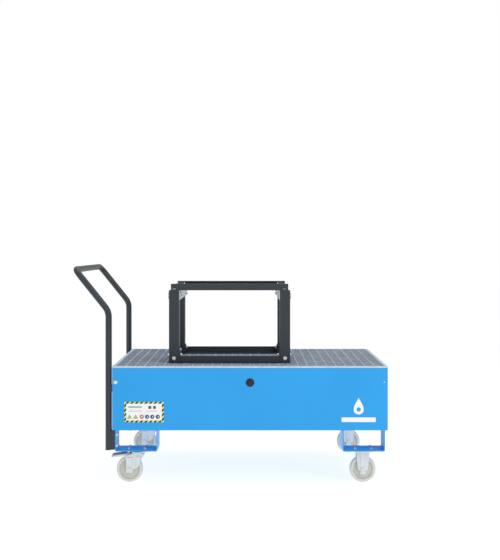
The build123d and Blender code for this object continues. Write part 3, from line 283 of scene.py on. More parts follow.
def carried(path: Array, radii: Array, around: int = 40, aside: Point = (0.78, 0.0, 0.62)) -> Surface:
    """Round section carried along a path.

    Args:
        path: The centre line, as (n, 3).
        radii: Radius of the section at each point of the path.
        around: Points round the section.
        aside: A direction that the path never takes, from which the section's own axes are worked out.

    Returns:
        The tube: p(s) + r(s) (cos t u(s) + sin t v(s)), where u and v are square to the path's direction.
    """
    along = np.gradient(path, axis=0)
    along /= np.linalg.norm(along, axis=1, keepdims=True)
    u = np.cross(along, np.array(aside))
    u /= np.linalg.norm(u, axis=1, keepdims=True)
    v = np.cross(along, u)
    angle = np.linspace(0, 2 * np.pi, around, endpoint=False)[None, :, None]
    section = np.cos(angle) * u[:, None] + np.sin(angle) * v[:, None]
    return rings(path[:, None] + np.asarray(radii)[:, None, None] * section)


def bent_path(points: Array, radii: list[float], steps: int = 14, run_steps: int = 12) -> Array:
    """Path through points, with a true arc of the given radius at each inner one.

    The arc about a corner turns from the unit direction d to e: with the half angle h between them it starts
    r tan h before the corner, and its points are start + r (sin a d + (1 - cos a) n), n being square to d.

    Args:
        points: The path's ends and corners, as (n, 3).
        radii: The bend radius at each corner.
        steps: Points along each arc, less one.
        run_steps: Points along each straight run, less one.

    Returns:
        The path's points, as (m, 3).
    """
    pieces = [points[:1]]
    for corner, radius in enumerate(radii, start=1):
        d = points[corner] - points[corner - 1]
        e = points[corner + 1] - points[corner]
        d = d / np.linalg.norm(d)
        e = e / np.linalg.norm(e)
        turn = math.acos(float(np.clip(d @ e, -1, 1)))
        n = e - (e @ d) * d
        n = n / np.linalg.norm(n)
        start = points[corner] - d * radius * math.tan(turn / 2)
        angle = np.linspace(0, turn, steps + 1)[:, None]
        run = np.linspace(pieces[-1][-1], start, run_steps + 1)[1:-1]
        pieces += [run, start + radius * (np.sin(angle) * d + (1 - np.cos(angle)) * n)]
    pieces.append(np.linspace(pieces[-1][-1], points[-1], run_steps + 1)[1:])
    return np.concatenate(pieces)


def hex_radius(angle: Array, flats: float) -> Array:
    """Radius of a hexagon at an angle: half its flats over cos of the angle from the nearest flat."""
    sixth = np.pi / 3
    return flats / 2 / np.cos((angle + sixth / 2) % sixth - sixth / 2)


@dataclass(frozen=True)
class HexSize:
    """Sizes of one hexagon fastener.

    Args:
        shank: Shank diameter.
        flats: Width across the flats.
        head: Height of the bolt's head.
        nut: Height of the nut.
        pitch: Thread pitch.
    """

    shank: float
    flats: float
    head: float
    nut: float
    pitch: float

    def block(self, height: float, bore: float) -> Surface:
        """Hexagon with a washer face below and a 30 degree chamfer on top.

        Args:
            height: From the seat to the top face.
            bore: Radius of the ring on top that the top face ends at, a nut's thread or a head's dish.

        Returns:
            The block, standing on z = 0.
        """
        around = 48
        angle = np.linspace(0, 2 * np.pi, around, endpoint=False)
        hexagon = hex_radius(angle, self.flats)
        crown = 0.95 * self.flats / 2
        washer = 0.1 * height
        ones = np.ones(around)
        chamfer = height - (hexagon - crown) * math.tan(math.radians(30))
        radii = [0.94 * self.flats / 2 * ones, 0.97 * self.flats / 2 * ones, hexagon, hexagon, crown * ones,
                 bore * ones, 0.9 * bore * ones]
        heights = [0 * ones, washer * ones, washer * 1.2 * ones, chamfer, height * ones, height * ones,
                   (height - 0.06 * height) * ones]
        rows = [np.stack([r * np.cos(angle), r * np.sin(angle), h], axis=1) for r, h in zip(radii, heights)]
        return rings(np.stack(rows))

    def stud(self, start: float, finish: float) -> Surface:
        """Threaded end: r = R - d |saw(z / pitch + t / 2 pi)|, drawn in at its tip.

        Args:
            start: Height of its foot.
            finish: Height of its tip.

        Returns:
            The stud, along z.
        """
        rows = max(8, int(8 * (finish - start) / self.pitch))
        angle = np.linspace(0, 2 * np.pi, 24, endpoint=False)[None, :]
        height = np.linspace(start, finish, rows)[:, None]
        saw = np.abs(2 * ((height / self.pitch + angle / (2 * np.pi)) % 1.0) - 1)
        tip = np.clip((height - finish + self.pitch) / self.pitch, 0, 1)
        radius = self.shank / 2 - 0.55 * self.pitch * saw - 0.12 * self.shank * tip
        rows_xyz = [radius * np.cos(angle), radius * np.sin(angle), height + 0 * angle]
        return rings(np.stack(rows_xyz, axis=-1))


M8 = HexSize(shank=0.008, flats=0.013, head=0.0053, nut=0.0065, pitch=0.00125)
M10 = HexSize(shank=0.010, flats=0.017, head=0.0064, nut=0.008, pitch=0.0015)
M12 = HexSize(shank=0.012, flats=0.019, head=0.006, nut=0.008, pitch=0.00175)

# How far a thread stands past its nut, and the edge radius of a print.
PROUD = 0.003
INK_EDGE = 0.00005


def both_sides(lower: list[Point]) -> list[Point]:
    """Corners of a turned profile that is the same above and below its middle.

    Args:
        lower: Radius, height and rounding of each corner of the lower half, from the inside out.

    Returns:
        The lower corners, then the same corners mirrored in reverse order.
    """
    return lower + [(radius, -height, rounding) for radius, height, rounding in reversed(lower)]


def domed(radius: float, height: float, start: float, steps: int) -> Array:
    """Outline of a dome from its top to its rim: (radius sin a, height cos a).

    Args:
        radius: Its radius.
        height: How far it stands up.
        start: The first angle, just off the pole.
        steps: How many points it has.

    Returns:
        The outline, as (n, 2).
    """
    angle = np.linspace(start, np.pi / 2, steps)
    return np.column_stack([radius * np.sin(angle), height * np.cos(angle)])


def box_of(node: str) -> Box:
    """Lowest and highest corner of a CAD node, as arrays."""
    low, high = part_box(node)
    return np.array(low), np.array(high)


def solids_of(node: str) -> list[Box]:
    """Boxes of the separate solids in a CAD node.

    The node's triangles are welded where they meet, and each point takes the smallest number of the points
    that its triangles reach, over and over, until nothing changes.

    Args:
        node: The CAD node's name.

    Returns:
        Lowest and highest corner of each solid, in order of their lowest corners.
    """
    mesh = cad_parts[node].data
    points = np.empty(len(mesh.vertices) * 3)
    mesh.vertices.foreach_get("co", points)
    points = points.reshape(-1, 3)
    triangles = np.empty(len(mesh.loops), int)
    mesh.loops.foreach_get("vertex_index", triangles)
    welded, number = np.unique(np.round(points, 6), axis=0, return_inverse=True)
    triangles = number.reshape(-1)[triangles].reshape(-1, 3)
    label = np.arange(len(welded))
    while True:
        lowest = label[triangles].min(axis=1)
        fresh = label.copy()
        np.minimum.at(fresh, triangles.reshape(-1), np.repeat(lowest, 3))
        fresh = fresh[fresh]
        if np.array_equal(fresh, label):
            break
        label = fresh
    found = [welded[label == solid] for solid in np.unique(label)]
    boxes = [(solid.min(axis=0), solid.max(axis=0)) for solid in found]
    return sorted(boxes, key=lambda corners: tuple(np.round(corners[0], 4)))


def middle_of(low: Array, high: Array) -> Point:
    """Middle of a box, as plain numbers."""
    return tuple(float(value) for value in (low + high) / 2)


def seat_on(low: Array, high: Array, axis: int, way: float, height: float) -> Seat:
    """Seat of a fastener on its CAD solid.

    Args:
        low: Lowest corner of the solid's box.
        high: Highest corner of the solid's box.
        axis: The axis that it points along: 0, 1 or 2.
        way: Its outward side along that axis, 1 or -1.
        height: Where its seat is along that axis.

    Returns:
        The seat's place, which is the box's middle moved to the height, and the outward direction.
    """
    seat = list(middle_of(low, high))
    seat[axis] = float(height)
    outward = [0.0, 0.0, 0.0]
    outward[axis] = way
    return tuple(seat), tuple(outward)


def put(name: str, surface: Surface, finish: Material, body: str,
        replaces: tuple[str, ...] = (), sharp: float = 38.0) -> bpy.types.Object:
    """Makes one finished piece of the dolly.

    Args:
        name: The piece's name.
        surface: Its skin, already in place.
        finish: Its material.
        body: The CAD body it rides on.
        replaces: The CAD nodes it stands for.
        sharp: Angle in degrees above which an edge stays sharp.

    Returns:
        The object, at the origin.
    """
    mesh = bpy.data.meshes.new(name)
    faces = surface.quads.tolist() + [end.tolist() for end in surface.ends]
    mesh.from_pydata(surface.points.tolist(), [], faces)
    mesh.shade_smooth()
    mesh.set_sharp_from_angle(angle=math.radians(sharp))
    mesh.validate()
    mesh.materials.append(finish)
    piece = bpy.data.objects.new(name, mesh)
    bpy.context.scene.collection.objects.link(piece)
    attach(piece, body)
    if replaces:
        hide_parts(*replaces)
    log.info("%s: %d faces on %s", name, len(faces), body)
    return piece


# ------------------------------------------------------------------ shader groups
@dataclass
class Graph:
    """Short ways to add and join nodes in one node tree.

    Args:
        tree: The tree that the nodes go into.
    """

    tree: NodeTree

    def add(self, kind: str, inputs: Inputs | None = None, **settings: object) -> Node:
        """Adds a node.

        Args:
            kind: Blender's name for the node's type.
            inputs: A value, or a socket to link from, for each named or numbered input.
            settings: The node's own settings.

        Returns:
            The new node.
        """
        node = self.tree.nodes.new(kind)
        for key, value in settings.items():
            setattr(node, key, value)
        for key, value in (inputs or {}).items():
            if isinstance(value, Socket):
                self.tree.links.new(value, node.inputs[key])
            else:
                node.inputs[key].default_value = value
        return node

    def maths(self, operation: str, *values: object) -> Socket:
        """Result of a Math node on one to three values or sockets."""
        return self.add("ShaderNodeMath", dict(enumerate(values)), operation=operation).outputs[0]

    def ranged(self, value: Socket, low: object, high: object, to_low: object = 0.0,
               to_high: object = 1.0) -> Socket:
        """Value carried from the range low..high to to_low..to_high, and held inside it."""
        inputs = {"Value": value, "From Min": low, "From Max": high, "To Min": to_low, "To Max": to_high}
        return self.add("ShaderNodeMapRange", inputs, clamp=True).outputs["Result"]

    def mixed(self, share: object, first: object, second: object) -> Socket:
        """Colour between two: first where share is 0 and second where it is 1.

        Args:
            share: The second colour's share, as a value or a socket.
            first: The first colour.
            second: The second colour.

        Returns:
            The colour between them.
        """
        node = self.add("ShaderNodeMix", data_type="RGBA", blend_type="MIX", clamp_factor=True)
        for socket, value in ((node.inputs[0], share), (node.inputs[6], first), (node.inputs[7], second)):
            if isinstance(value, Socket):
                self.tree.links.new(value, socket)
            else:
                socket.default_value = value
        return node.outputs[2]

    def feed(self, node: Node, name: str, value: Socket) -> None:
        """Joins a value to a node's named input."""
        self.tree.links.new(value, node.inputs[name])

    def noise(self, low: float, high: float, scale: object, detail: object,
              place: Socket | None = None) -> Socket:
        """Noise spread from 0 at low to 1 at high.

        Args:
            low: Noise that counts as 0.
            high: Noise that counts as 1.
            scale: The noise's scale, as a value or a socket.
            detail: Its detail.
            place: Where it is read, or the object's own coordinates if there is none.

        Returns:
            The spread noise.
        """
        if place is None:
            place = self.add("ShaderNodeTexCoord").outputs["Object"]
        noise = self.add("ShaderNodeTexNoise", {"Vector": place, "Scale": scale, "Detail": detail})
        return self.ranged(noise.outputs["Fac"], low, high)


def new_group(name: str, inputs: dict[str, float], outputs: list[str]) -> tuple[NodeTree, Graph, Node, Node]:
    """Starts a shader group whose sockets are all plain numbers.

    Args:
        name: The group's name.
        inputs: Each input's name and its usual value.
        outputs: Each output's name.

    Returns:
        The group, its graph, its input node and its output node.
    """
    group = bpy.data.node_groups.new(name, "ShaderNodeTree")
    for label, value in inputs.items():
        socket = group.interface.new_socket(name=label, in_out="INPUT", socket_type="NodeSocketFloat")
        socket.default_value = value
    for label in outputs:
        group.interface.new_socket(name=label, in_out="OUTPUT", socket_type="NodeSocketFloat")
    graph = Graph(group)
    return group, graph, graph.add("NodeGroupInput"), graph.add("NodeGroupOutput")


class Effect(Enum):
    """The shared surface effects, by the name of the group that makes each."""

    GRAIN = "surface_grain"
    EDGE_WEAR_AND_HIGHLIGHT = "edge_wear_and_highlight"
    DUST = "settled_dust"
    SPANGLE = "zinc_spangle"
    SCRATCH = "fine_scratches"


class Effects:
    """Builds each shared effect once, and places it in materials."""

    def __init__(self) -> None:
        """Builds the groups."""
        self.groups = {
            Effect.GRAIN: self._grain(),
            Effect.EDGE_WEAR_AND_HIGHLIGHT: self._edge_wear_and_highlight(),
            Effect.DUST: self._dust(),
            Effect.SPANGLE: self._spangle(),
            Effect.SCRATCH: self._scratch(),
        }

    def _grain(self) -> NodeTree:
        """Cloudy variation at one scale, as a value from 0 to 1.

        Returns:
            The shader group.
        """
        group, graph, given, result = new_group(Effect.GRAIN.value, {"Scale": 40.0, "Detail": 3.0}, ["Value"])
        value = graph.noise(0.32, 0.68, given.outputs["Scale"], given.outputs["Detail"])
        graph.feed(result, "Value", value)
        return group

    def _edge_wear_and_highlight(self) -> NodeTree:
        """Mask of the outer edges, where a rounded normal leaves the true one, broken up by noise: it marks
        worn edges and edges given a painted highlight.

        Returns:
            The shader group.
        """
        given_values = {"Radius": 0.002, "Reach": 0.12, "Breakup": 90.0}
        group, graph, given, result = new_group(Effect.EDGE_WEAR_AND_HIGHLIGHT.value, given_values, ["Mask"])
        bevel = graph.add("ShaderNodeBevel", {"Radius": given.outputs["Radius"]}, samples=4)
        rounded = bevel.outputs["Normal"]
        true = graph.add("ShaderNodeNewGeometry").outputs["True Normal"]
        match = graph.add("ShaderNodeVectorMath", {0: rounded, 1: true}, operation="DOT_PRODUCT")
        away = graph.maths("SUBTRACT", 1.0, match.outputs["Value"])
        edge = graph.ranged(away, 0.01, given.outputs["Reach"])
        broken = graph.noise(0.4, 0.62, given.outputs["Breakup"], 4.0)
        graph.feed(result, "Mask", graph.maths("MULTIPLY", edge, broken))
        return group

    def _dust(self) -> NodeTree:
        """Mask of dust that lies where the surface faces up, in soft patches.

        Returns:
            The shader group.
        """
        group, graph, given, result = new_group(Effect.DUST.value, {"Amount": 0.3, "Scale": 14.0}, ["Mask"])
        normal = graph.add("ShaderNodeNewGeometry").outputs["Normal"]
        up = graph.add("ShaderNodeSeparateXYZ", {0: normal}).outputs["Z"]
        facing = graph.ranged(up, 0.35, 1.0)
        patch = graph.noise(0.35, 0.7, given.outputs["Scale"], 6.0)
        mask = graph.maths("MULTIPLY", graph.maths("MULTIPLY", facing, patch), given.outputs["Amount"])
        graph.feed(result, "Mask", mask)
        return group

    def _spangle(self) -> NodeTree:
        """Crystal patches of a zinc bath: each cell has its own value, and its rim stands a little proud.

        Returns:
            The shader group.
        """
        bend_size = 0.012
        group, graph, given, result = new_group(Effect.SPANGLE.value, {"Scale": 60.0}, ["Value", "Height"])
        place = graph.add("ShaderNodeTexCoord").outputs["Object"]
        cloud = graph.add("ShaderNodeTexNoise", {"Vector": place, "Scale": 30.0, "Detail": 2.0})
        bend_values = {0: cloud.outputs["Color"], "Scale": bend_size}
        bend = graph.add("ShaderNodeVectorMath", bend_values, operation="SCALE")
        bent = graph.add("ShaderNodeVectorMath", {0: place, 1: bend.outputs[0]}, operation="ADD").outputs[0]
        cells = graph.add("ShaderNodeTexVoronoi", {"Vector": bent, "Scale": given.outputs["Scale"]})
        shade = graph.add("ShaderNodeSeparateColor", {0: cells.outputs["Color"]}).outputs[0]
        graph.feed(result, "Value", shade)
        graph.feed(result, "Height", cells.outputs["Distance"])
        return group

    def _scratch(self) -> NodeTree:
        """Fine lines drawn out along one axis, from a noise stretched by its Mapping.

        Returns:
            The shader group.
        """
        group, graph, given, result = new_group(Effect.SCRATCH.value, {"Scale": 160.0}, ["Value"])
        place = graph.add("ShaderNodeTexCoord").outputs["Object"]
        turned_by = {"Vector": place, "Scale": (1.0, 1.0, 0.06), "Rotation": (0.2, 0.35, 0.1)}
        stretched = graph.add("ShaderNodeMapping", turned_by).outputs[0]
        graph.feed(result, "Value", graph.noise(0.35, 0.65, given.outputs["Scale"], 5.0, stretched))
        return group

    def place(self, graph: Graph, effect: Effect, **values: float) -> Node:
        """Puts an effect into a material's graph.

        Args:
            graph: The material's graph.
            effect: Which effect.
            values: The group's inputs, by name.

        Returns:
            The group's node.
        """
        node = graph.add("ShaderNodeGroup")
        node.node_tree = self.groups[effect]
        for key, value in values.items():
            node.inputs[key].default_value = value
        return node


# ------------------------------------------------------------------ finishes
@dataclass(frozen=True)
class Finish:
    """What every finish shares.

    Args:
        name: The material's name.
        colour: Its main colour, linear.
        roughness: Its usual roughness.
        soft_edge: Radius that the eye sees on its sharp edges.
    """

    name: str
    colour: Colour
    roughness: float
    soft_edge: float = 0.0008

    def start(self, metallic: float = 0.0, coat: float = 0.0) -> tuple[Material, Graph, Node]:
        """Begins the material with a Principled shader.

        Args:
            metallic: How metallic the shader is all over.
            coat: Weight of its clear coat.

        Returns:
            The material, its graph and the shader's node.
        """
        material = bpy.data.materials.new(self.name)
        material.use_nodes = True
        material.diffuse_color = self.colour
        material.node_tree.nodes.clear()
        graph = Graph(material.node_tree)
        shader = graph.add("ShaderNodeBsdfPrincipled", {"Metallic": metallic, "Coat Weight": coat,
                                                        "Coat Roughness": 0.12})
        output = graph.add("ShaderNodeOutputMaterial")
        graph.feed(output, "Surface", shader.outputs["BSDF"])
        return material, graph, shader

    def relief(self, graph: Graph, shader: Node, height: Socket, strength: float,
               distance: float) -> None:
        """Feeds a height, over softened edges, to the shader's normal.

        Args:
            graph: The material's graph.
            shader: The shader's node.
            height: The height to show.
            strength: How strongly it shows, from 0 to 1.
            distance: The height of its highest point.
        """
        inputs: Inputs = {"Height": height, "Strength": strength, "Distance": distance}
        if self.soft_edge:
            soft = graph.add("ShaderNodeBevel", {"Radius": self.soft_edge}, samples=4)
            inputs["Normal"] = soft.outputs["Normal"]
        bump = graph.add("ShaderNodeBump", inputs)
        graph.feed(shader, "Normal", bump.outputs["Normal"])


@dataclass(frozen=True)
class PowderCoat(Finish):
    """Powder-coated steel: orange peel, slight shade changes, paler edges that are partly worn and partly a
    painted highlight, and a little dust.

    Args:
        shade: Colour of the darker clouds.
        worn: Colour of the paler edges, worn paint and painted highlight both.
        wear_and_highlight: How much of the paler edge colour shows.
        dust: How much dust lies on its upper faces.
    """

    shade: Colour = (0.0, 0.0, 0.0, 1.0)
    worn: Colour = (1.0, 1.0, 1.0, 1.0)
    wear_and_highlight: float = 0.5
    dust: float = 0.1

    def build(self, effects: Effects) -> Material:
        """Builds the material from the shared effects.

        Args:
            effects: The shared effects.

        Returns:
            The material.
        """
        material, graph, shader = self.start(coat=0.08)
        cloud = effects.place(graph, Effect.GRAIN, Scale=3.2, Detail=4.0).outputs["Value"]
        peel = effects.place(graph, Effect.GRAIN, Scale=520.0, Detail=2.0).outputs["Value"]
        edge = effects.place(graph, Effect.EDGE_WEAR_AND_HIGHLIGHT, Radius=0.0022, Reach=0.10).outputs["Mask"]
        dust = effects.place(graph, Effect.DUST, Amount=self.dust).outputs["Mask"]
        base = graph.mixed(cloud, self.colour, self.shade)
        # Paler edges: partly worn paint, partly a painted highlight along the edges.
        base = graph.mixed(graph.maths("MULTIPLY", edge, self.wear_and_highlight), base, self.worn)
        base = graph.mixed(dust, base, srgb(196, 196, 190))
        graph.feed(shader, "Base Color", base)
        rough = graph.ranged(peel, 0.0, 1.0, self.roughness - 0.05, self.roughness + 0.06)
        dulled = graph.maths("MULTIPLY", dust, 0.4)
        graph.feed(shader, "Roughness", graph.maths("ADD", rough, dulled))
        self.relief(graph, shader, peel, 0.16, 0.00012)
        return material


@dataclass(frozen=True)
class BathZinc(Finish):
    """Hot-dip galvanised steel: crystal patches, dull clouds and brighter edges, partly rubbed and partly a
    painted highlight.

    Args:
        pale: Colour of the brightest patches.
        metallic: How metallic it is.
    """

    pale: Colour = (1.0, 1.0, 1.0, 1.0)
    metallic: float = 0.55

    def build(self, effects: Effects) -> Material:
        """Builds the material from the shared effects.

        Args:
            effects: The shared effects.

        Returns:
            The material.
        """
        material, graph, shader = self.start(metallic=self.metallic)
        spangle = effects.place(graph, Effect.SPANGLE, Scale=95.0)
        cloud = effects.place(graph, Effect.GRAIN, Scale=9.0, Detail=5.0).outputs["Value"]
        edge = effects.place(graph, Effect.EDGE_WEAR_AND_HIGHLIGHT, Radius=0.0015, Reach=0.2).outputs["Mask"]
        patch = graph.maths("MULTIPLY", spangle.outputs["Value"], 0.55)
        share = graph.maths("ADD", patch, graph.maths("MULTIPLY", cloud, 0.35))
        base = graph.mixed(share, self.colour, self.pale)
        # Brighter edges: partly rubbed zinc, partly a painted highlight.
        base = graph.mixed(graph.maths("MULTIPLY", edge, 0.5), base, srgb(214, 222, 228))
        graph.feed(shader, "Base Color", base)
        rough = graph.ranged(spangle.outputs["Value"], 0.0, 1.0, self.roughness - 0.08, self.roughness + 0.1)
        graph.feed(shader, "Roughness", rough)
        self.relief(graph, shader, spangle.outputs["Height"], 0.2, 0.0002)
        return material


@dataclass(frozen=True)
class BrightZinc(Finish):
    """Bright zinc plate on pressed parts and fasteners: fine scratches and faintly blue and warm clouds.

    Args:
        warm: Colour of the warmer clouds.
        metallic: How metallic it is.
    """

    warm: Colour = (1.0, 1.0, 1.0, 1.0)
    metallic: float = 0.5

    def build(self, effects: Effects) -> Material:
        """Builds the material from the shared effects.

        Args:
            effects: The shared effects.

        Returns:
            The material.
        """
        material, graph, shader = self.start(metallic=self.metallic)
        cloud = effects.place(graph, Effect.GRAIN, Scale=22.0, Detail=3.0).outputs["Value"]
        lines = effects.place(graph, Effect.SCRATCH, Scale=420.0).outputs["Value"]
        base = graph.mixed(graph.maths("MULTIPLY", cloud, 0.7), self.colour, self.warm)
        graph.feed(shader, "Base Color", base)
        rough = graph.ranged(lines, 0.0, 1.0, self.roughness - 0.07, self.roughness + 0.09)
        graph.feed(shader, "Roughness", rough)
        self.relief(graph, shader, lines, 0.12, 0.00005)
        return material


@dataclass(frozen=True)
class Moulding(Finish):
    """Moulded plastic or rubber: a fine skin grain, slow shade changes and scuffs.

    Args:
        scuff: Colour of its scuffs and of the dust in its grain.
        scuffing: How much of the scuffs shows.
        glow: Share of light that travels under its skin.
        grain: Scale of the skin's grain.
    """

    scuff: Colour = (0.5, 0.5, 0.5, 1.0)
    scuffing: float = 0.3
    glow: float = 0.0
    grain: float = 300.0

    def build(self, effects: Effects) -> Material:
        """Builds the material from the shared effects.

        Args:
            effects: The shared effects.

        Returns:
            The material.
        """
        material, graph, shader = self.start()
        shader.inputs["Subsurface Weight"].default_value = self.glow
        shader.inputs["Subsurface Radius"].default_value = (0.004, 0.004, 0.003)
        shader.inputs["Subsurface Scale"].default_value = 1.0
        cloud = effects.place(graph, Effect.GRAIN, Scale=24.0, Detail=4.0).outputs["Value"]
        skin = effects.place(graph, Effect.GRAIN, Scale=self.grain, Detail=3.0).outputs["Value"]
        edge = effects.place(graph, Effect.EDGE_WEAR_AND_HIGHLIGHT, Radius=0.002, Reach=0.25).outputs["Mask"]
        worn = graph.maths("ADD", graph.maths("MULTIPLY", cloud, 0.5), edge)
        marks = graph.maths("MULTIPLY", worn, self.scuffing)
        base = self.ribbed(graph, graph.mixed(marks, self.colour, self.scuff))
        graph.feed(shader, "Base Color", base)
        rough = graph.ranged(skin, 0.0, 1.0, self.roughness - 0.06, self.roughness + 0.08)
        graph.feed(shader, "Roughness", rough)
        self.relief(graph, shader, skin, 0.15, 0.0001)
        return material

    def ribbed(self, graph: Graph, base: Socket) -> Socket:
        """Base colour with nothing over it, for a moulding without ribs."""
        return base


@dataclass(frozen=True)
class RibbedPad(Moulding):
    """A ribbed foot pad whose rib tips are painted pale: a painted highlight on the tips.

    Args:
        tip: Colour of the painted highlight on the rib tips.
        pitch: From one rib to the next, along X.
        origin: Where the first rib starts, along X.
    """

    tip: Colour = (0.5, 0.5, 0.5, 1.0)
    pitch: float = 0.0065
    origin: float = 0.0

    def ribbed(self, graph: Graph, base: Socket) -> Socket:
        """Base colour with the painted highlight of the tips over it.

        The share of tip is a wave with one crest to each rib, which follows the place along X only.

        Args:
            graph: The material's graph.
            base: The pad's own colour.

        Returns:
            The two colours mixed.
        """
        place = graph.add("ShaderNodeTexCoord").outputs["Object"]
        along = graph.add("ShaderNodeSeparateXYZ", {0: place}).outputs["X"]
        turns = graph.maths("DIVIDE", graph.maths("SUBTRACT", along, self.origin), self.pitch)
        wave = graph.maths("SINE", graph.maths("MULTIPLY", turns, 2.0 * math.pi))
        # Pale stripes: a painted highlight on the rib tips.
        return graph.mixed(graph.ranged(wave, 0.0, 0.7), base, self.tip)


@dataclass(frozen=True)
class PrintedFilm(Finish):
    """Printed adhesive film: one ink, faintly uneven, under a thin gloss.

    Args:
        worn: Colour that shows through where the print has faded.
    """

    worn: Colour = (0.9, 0.9, 0.9, 1.0)

    def build(self, effects: Effects) -> Material:
        """Builds the material from the shared effects.

        Args:
            effects: The shared effects.

        Returns:
            The material.
        """
        material, graph, shader = self.start(coat=0.2)
        fade = effects.place(graph, Effect.GRAIN, Scale=70.0, Detail=5.0).outputs["Value"]
        fine = effects.place(graph, Effect.GRAIN, Scale=800.0, Detail=2.0).outputs["Value"]
        base = graph.mixed(graph.maths("MULTIPLY", fade, 0.12), self.colour, self.worn)
        graph.feed(shader, "Base Color", base)
        rough = graph.ranged(fine, 0.0, 1.0, self.roughness - 0.04, self.roughness + 0.05)
        graph.feed(shader, "Roughness", rough)
        self.relief(graph, shader, fine, 0.08, 0.00002)
        return material


class Palette:
    """Every finish on the dolly, built once."""

    def __init__(self, effects: Effects) -> None:
        """Builds the finishes from the shared effects.

        Args:
            effects: The shared effects.
        """
        # Each powder coat's worn colour is pale: it is worn paint and also a painted highlight on the edges.
        self.tray = PowderCoat("blue_powder_coat", srgb(20, 165, 240), 0.38, shade=srgb(16, 160, 235),
                               worn=srgb(120, 200, 245), wear_and_highlight=0.3, dust=0.04).build(effects)
        self.bracket = PowderCoat("bracket_powder_coat", srgb(14, 168, 236), 0.40, shade=srgb(10, 158, 226),
                                  worn=srgb(140, 205, 240), wear_and_highlight=0.4, dust=0.04).build(effects)
        self.anthracite = PowderCoat("anthracite_powder_coat", srgb(40, 51, 59), 0.48, shade=srgb(34, 45, 53),
                                     worn=srgb(96, 106, 114), wear_and_highlight=0.35, dust=0.08).build(effects)
        self.bearing = BathZinc("bath_zinc_bearing_bars", srgb(176, 186, 196), 0.45, pale=srgb(226, 233, 238),
                                metallic=0.25).build(effects)
        self.cross = BathZinc("bath_zinc_cross_bars", srgb(156, 168, 178), 0.5, pale=srgb(194, 204, 212),
                              metallic=0.3).build(effects)
        # The edging's pale blue-white is galvanised zinc brightened into a painted highlight: the light line
        # along the tray's rim.
        self.edging = BathZinc("bath_zinc_edging_painted_highlight", srgb(182, 202, 218), 0.45, pale=srgb(212, 226, 236),
                               metallic=0.15).build(effects)
        self.cradle = BathZinc("bath_zinc_plate", srgb(164, 170, 174), 0.42, pale=srgb(204, 210, 214),
                               metallic=0.35).build(effects)
        self.zinc = BrightZinc("bright_zinc_pressing", srgb(218, 224, 228), 0.36, warm=srgb(230, 233, 232),
                               metallic=0.25).build(effects)
        self.bolts = BrightZinc("bright_zinc_bolts", srgb(214, 219, 224), 0.3, warm=srgb(236, 236, 228),
                                metallic=0.45, soft_edge=0.0003).build(effects)
        self.nylon = Moulding("wheel_polyamide", srgb(220, 221, 214), 0.42, scuff=srgb(184, 184, 174),
                              scuffing=0.3, glow=0.12, grain=180.0).build(effects)
        # The web's polyamide is the rim's, made darker: painted shade in the wheel's recess.
        self.web = Moulding("wheel_web_polyamide_painted_shade", srgb(208, 209, 200), 0.46, scuff=srgb(182, 182, 172),
                            scuffing=0.3, glow=0.1, grain=180.0).build(effects)
        self.rubber = Moulding("dark_rubber", srgb(24, 27, 30), 0.6, scuff=srgb(62, 65, 68), scuffing=0.25,
                               grain=420.0).build(effects)
        self.plastic = Moulding("dark_plastic", srgb(36, 40, 44), 0.45, scuff=srgb(88, 92, 96), scuffing=0.35,
                                grain=360.0).build(effects)
        # The pad's pale tip colour is a painted highlight on its ribs.
        self.pad = RibbedPad("ribbed_pad", srgb(40, 58, 62), 0.5, scuff=srgb(88, 92, 96), scuffing=0.3,
                             grain=360.0, tip=srgb(206, 212, 214)).build(effects)

        def film(ink: str, colour: Colour, worn: Colour = (0.9, 0.9, 0.9, 1.0),
                 roughness: float = 0.35) -> Material:
            """Printed film in one ink."""
            return PrintedFilm(f"film_{ink}", colour, roughness, worn=worn).build(effects)

        self.film_white = film("white", srgb(246, 247, 245))
        self.film_yellow = film("yellow", srgb(236, 238, 70))
        self.film_black = film("black", srgb(14, 16, 18), srgb(60, 64, 68), 0.4)
        self.film_red = film("red", srgb(206, 60, 66), srgb(216, 96, 96))
        self.film_blue = film("blue", srgb(24, 62, 124), srgb(60, 96, 160))
        self.film_grey = film("grey", srgb(150, 172, 190), srgb(180, 190, 200))
        self.film_violet = film("violet", srgb(78, 74, 96), srgb(110, 106, 126))


def dress(nodes: list[str], finish: Material) -> None:
    """Gives CAD nodes that keep their shape a finish.

    Args:
        nodes: The nodes' names.
        finish: Their material.
    """
    for node in nodes:
        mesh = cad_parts[node].data
        mesh.materials.clear()
        mesh.materials.append(finish)
    log.info("dressed %s", ", ".join(nodes))


SIDES = ("front", "rear")
PLACES = ("front_left", "front_right", "rear_left", "rear_right")


def fasteners(name: str, size: HexSize, heads: list[Seat], nuts: list[Seat], stick_out: float,
              finish: Material, body: str, replaces: tuple[str, ...]) -> None:
    """One group of like fasteners.

    Args:
        name: The piece's name.
        size: Their size.
        heads: Seat and outward direction of each bolt head.
        nuts: Seat and outward direction of each nut.
        stick_out: How far the thread stands past the nut.
        finish: Their material.
        body: The body that they ride on.
        replaces: The CAD nodes that they stand for.
    """
    parts = []
    for seat, way in heads:
        parts.append(size.block(size.head, 0.62 * size.flats / 2).placed(seat, aside(way), way))
    for seat, way in nuts:
        parts.append(size.block(size.nut, size.shank / 2 * 1.04).placed(seat, aside(way), way))
        parts.append(size.stud(0.1 * size.nut, size.nut + stick_out).placed(seat, aside(way), way))
    put(name, joined(parts), finish, body, replaces, sharp=32)


def aside(way: Point) -> Point:
    """A direction square to way, level where it can be, which puts a hexagon's flat to that side.

    Args:
        way: The outward direction.

    Returns:
        The direction.
    """
    if abs(way[2]) > 0.9:
        return X_AXIS
    return (-way[1], way[0], 0.0)


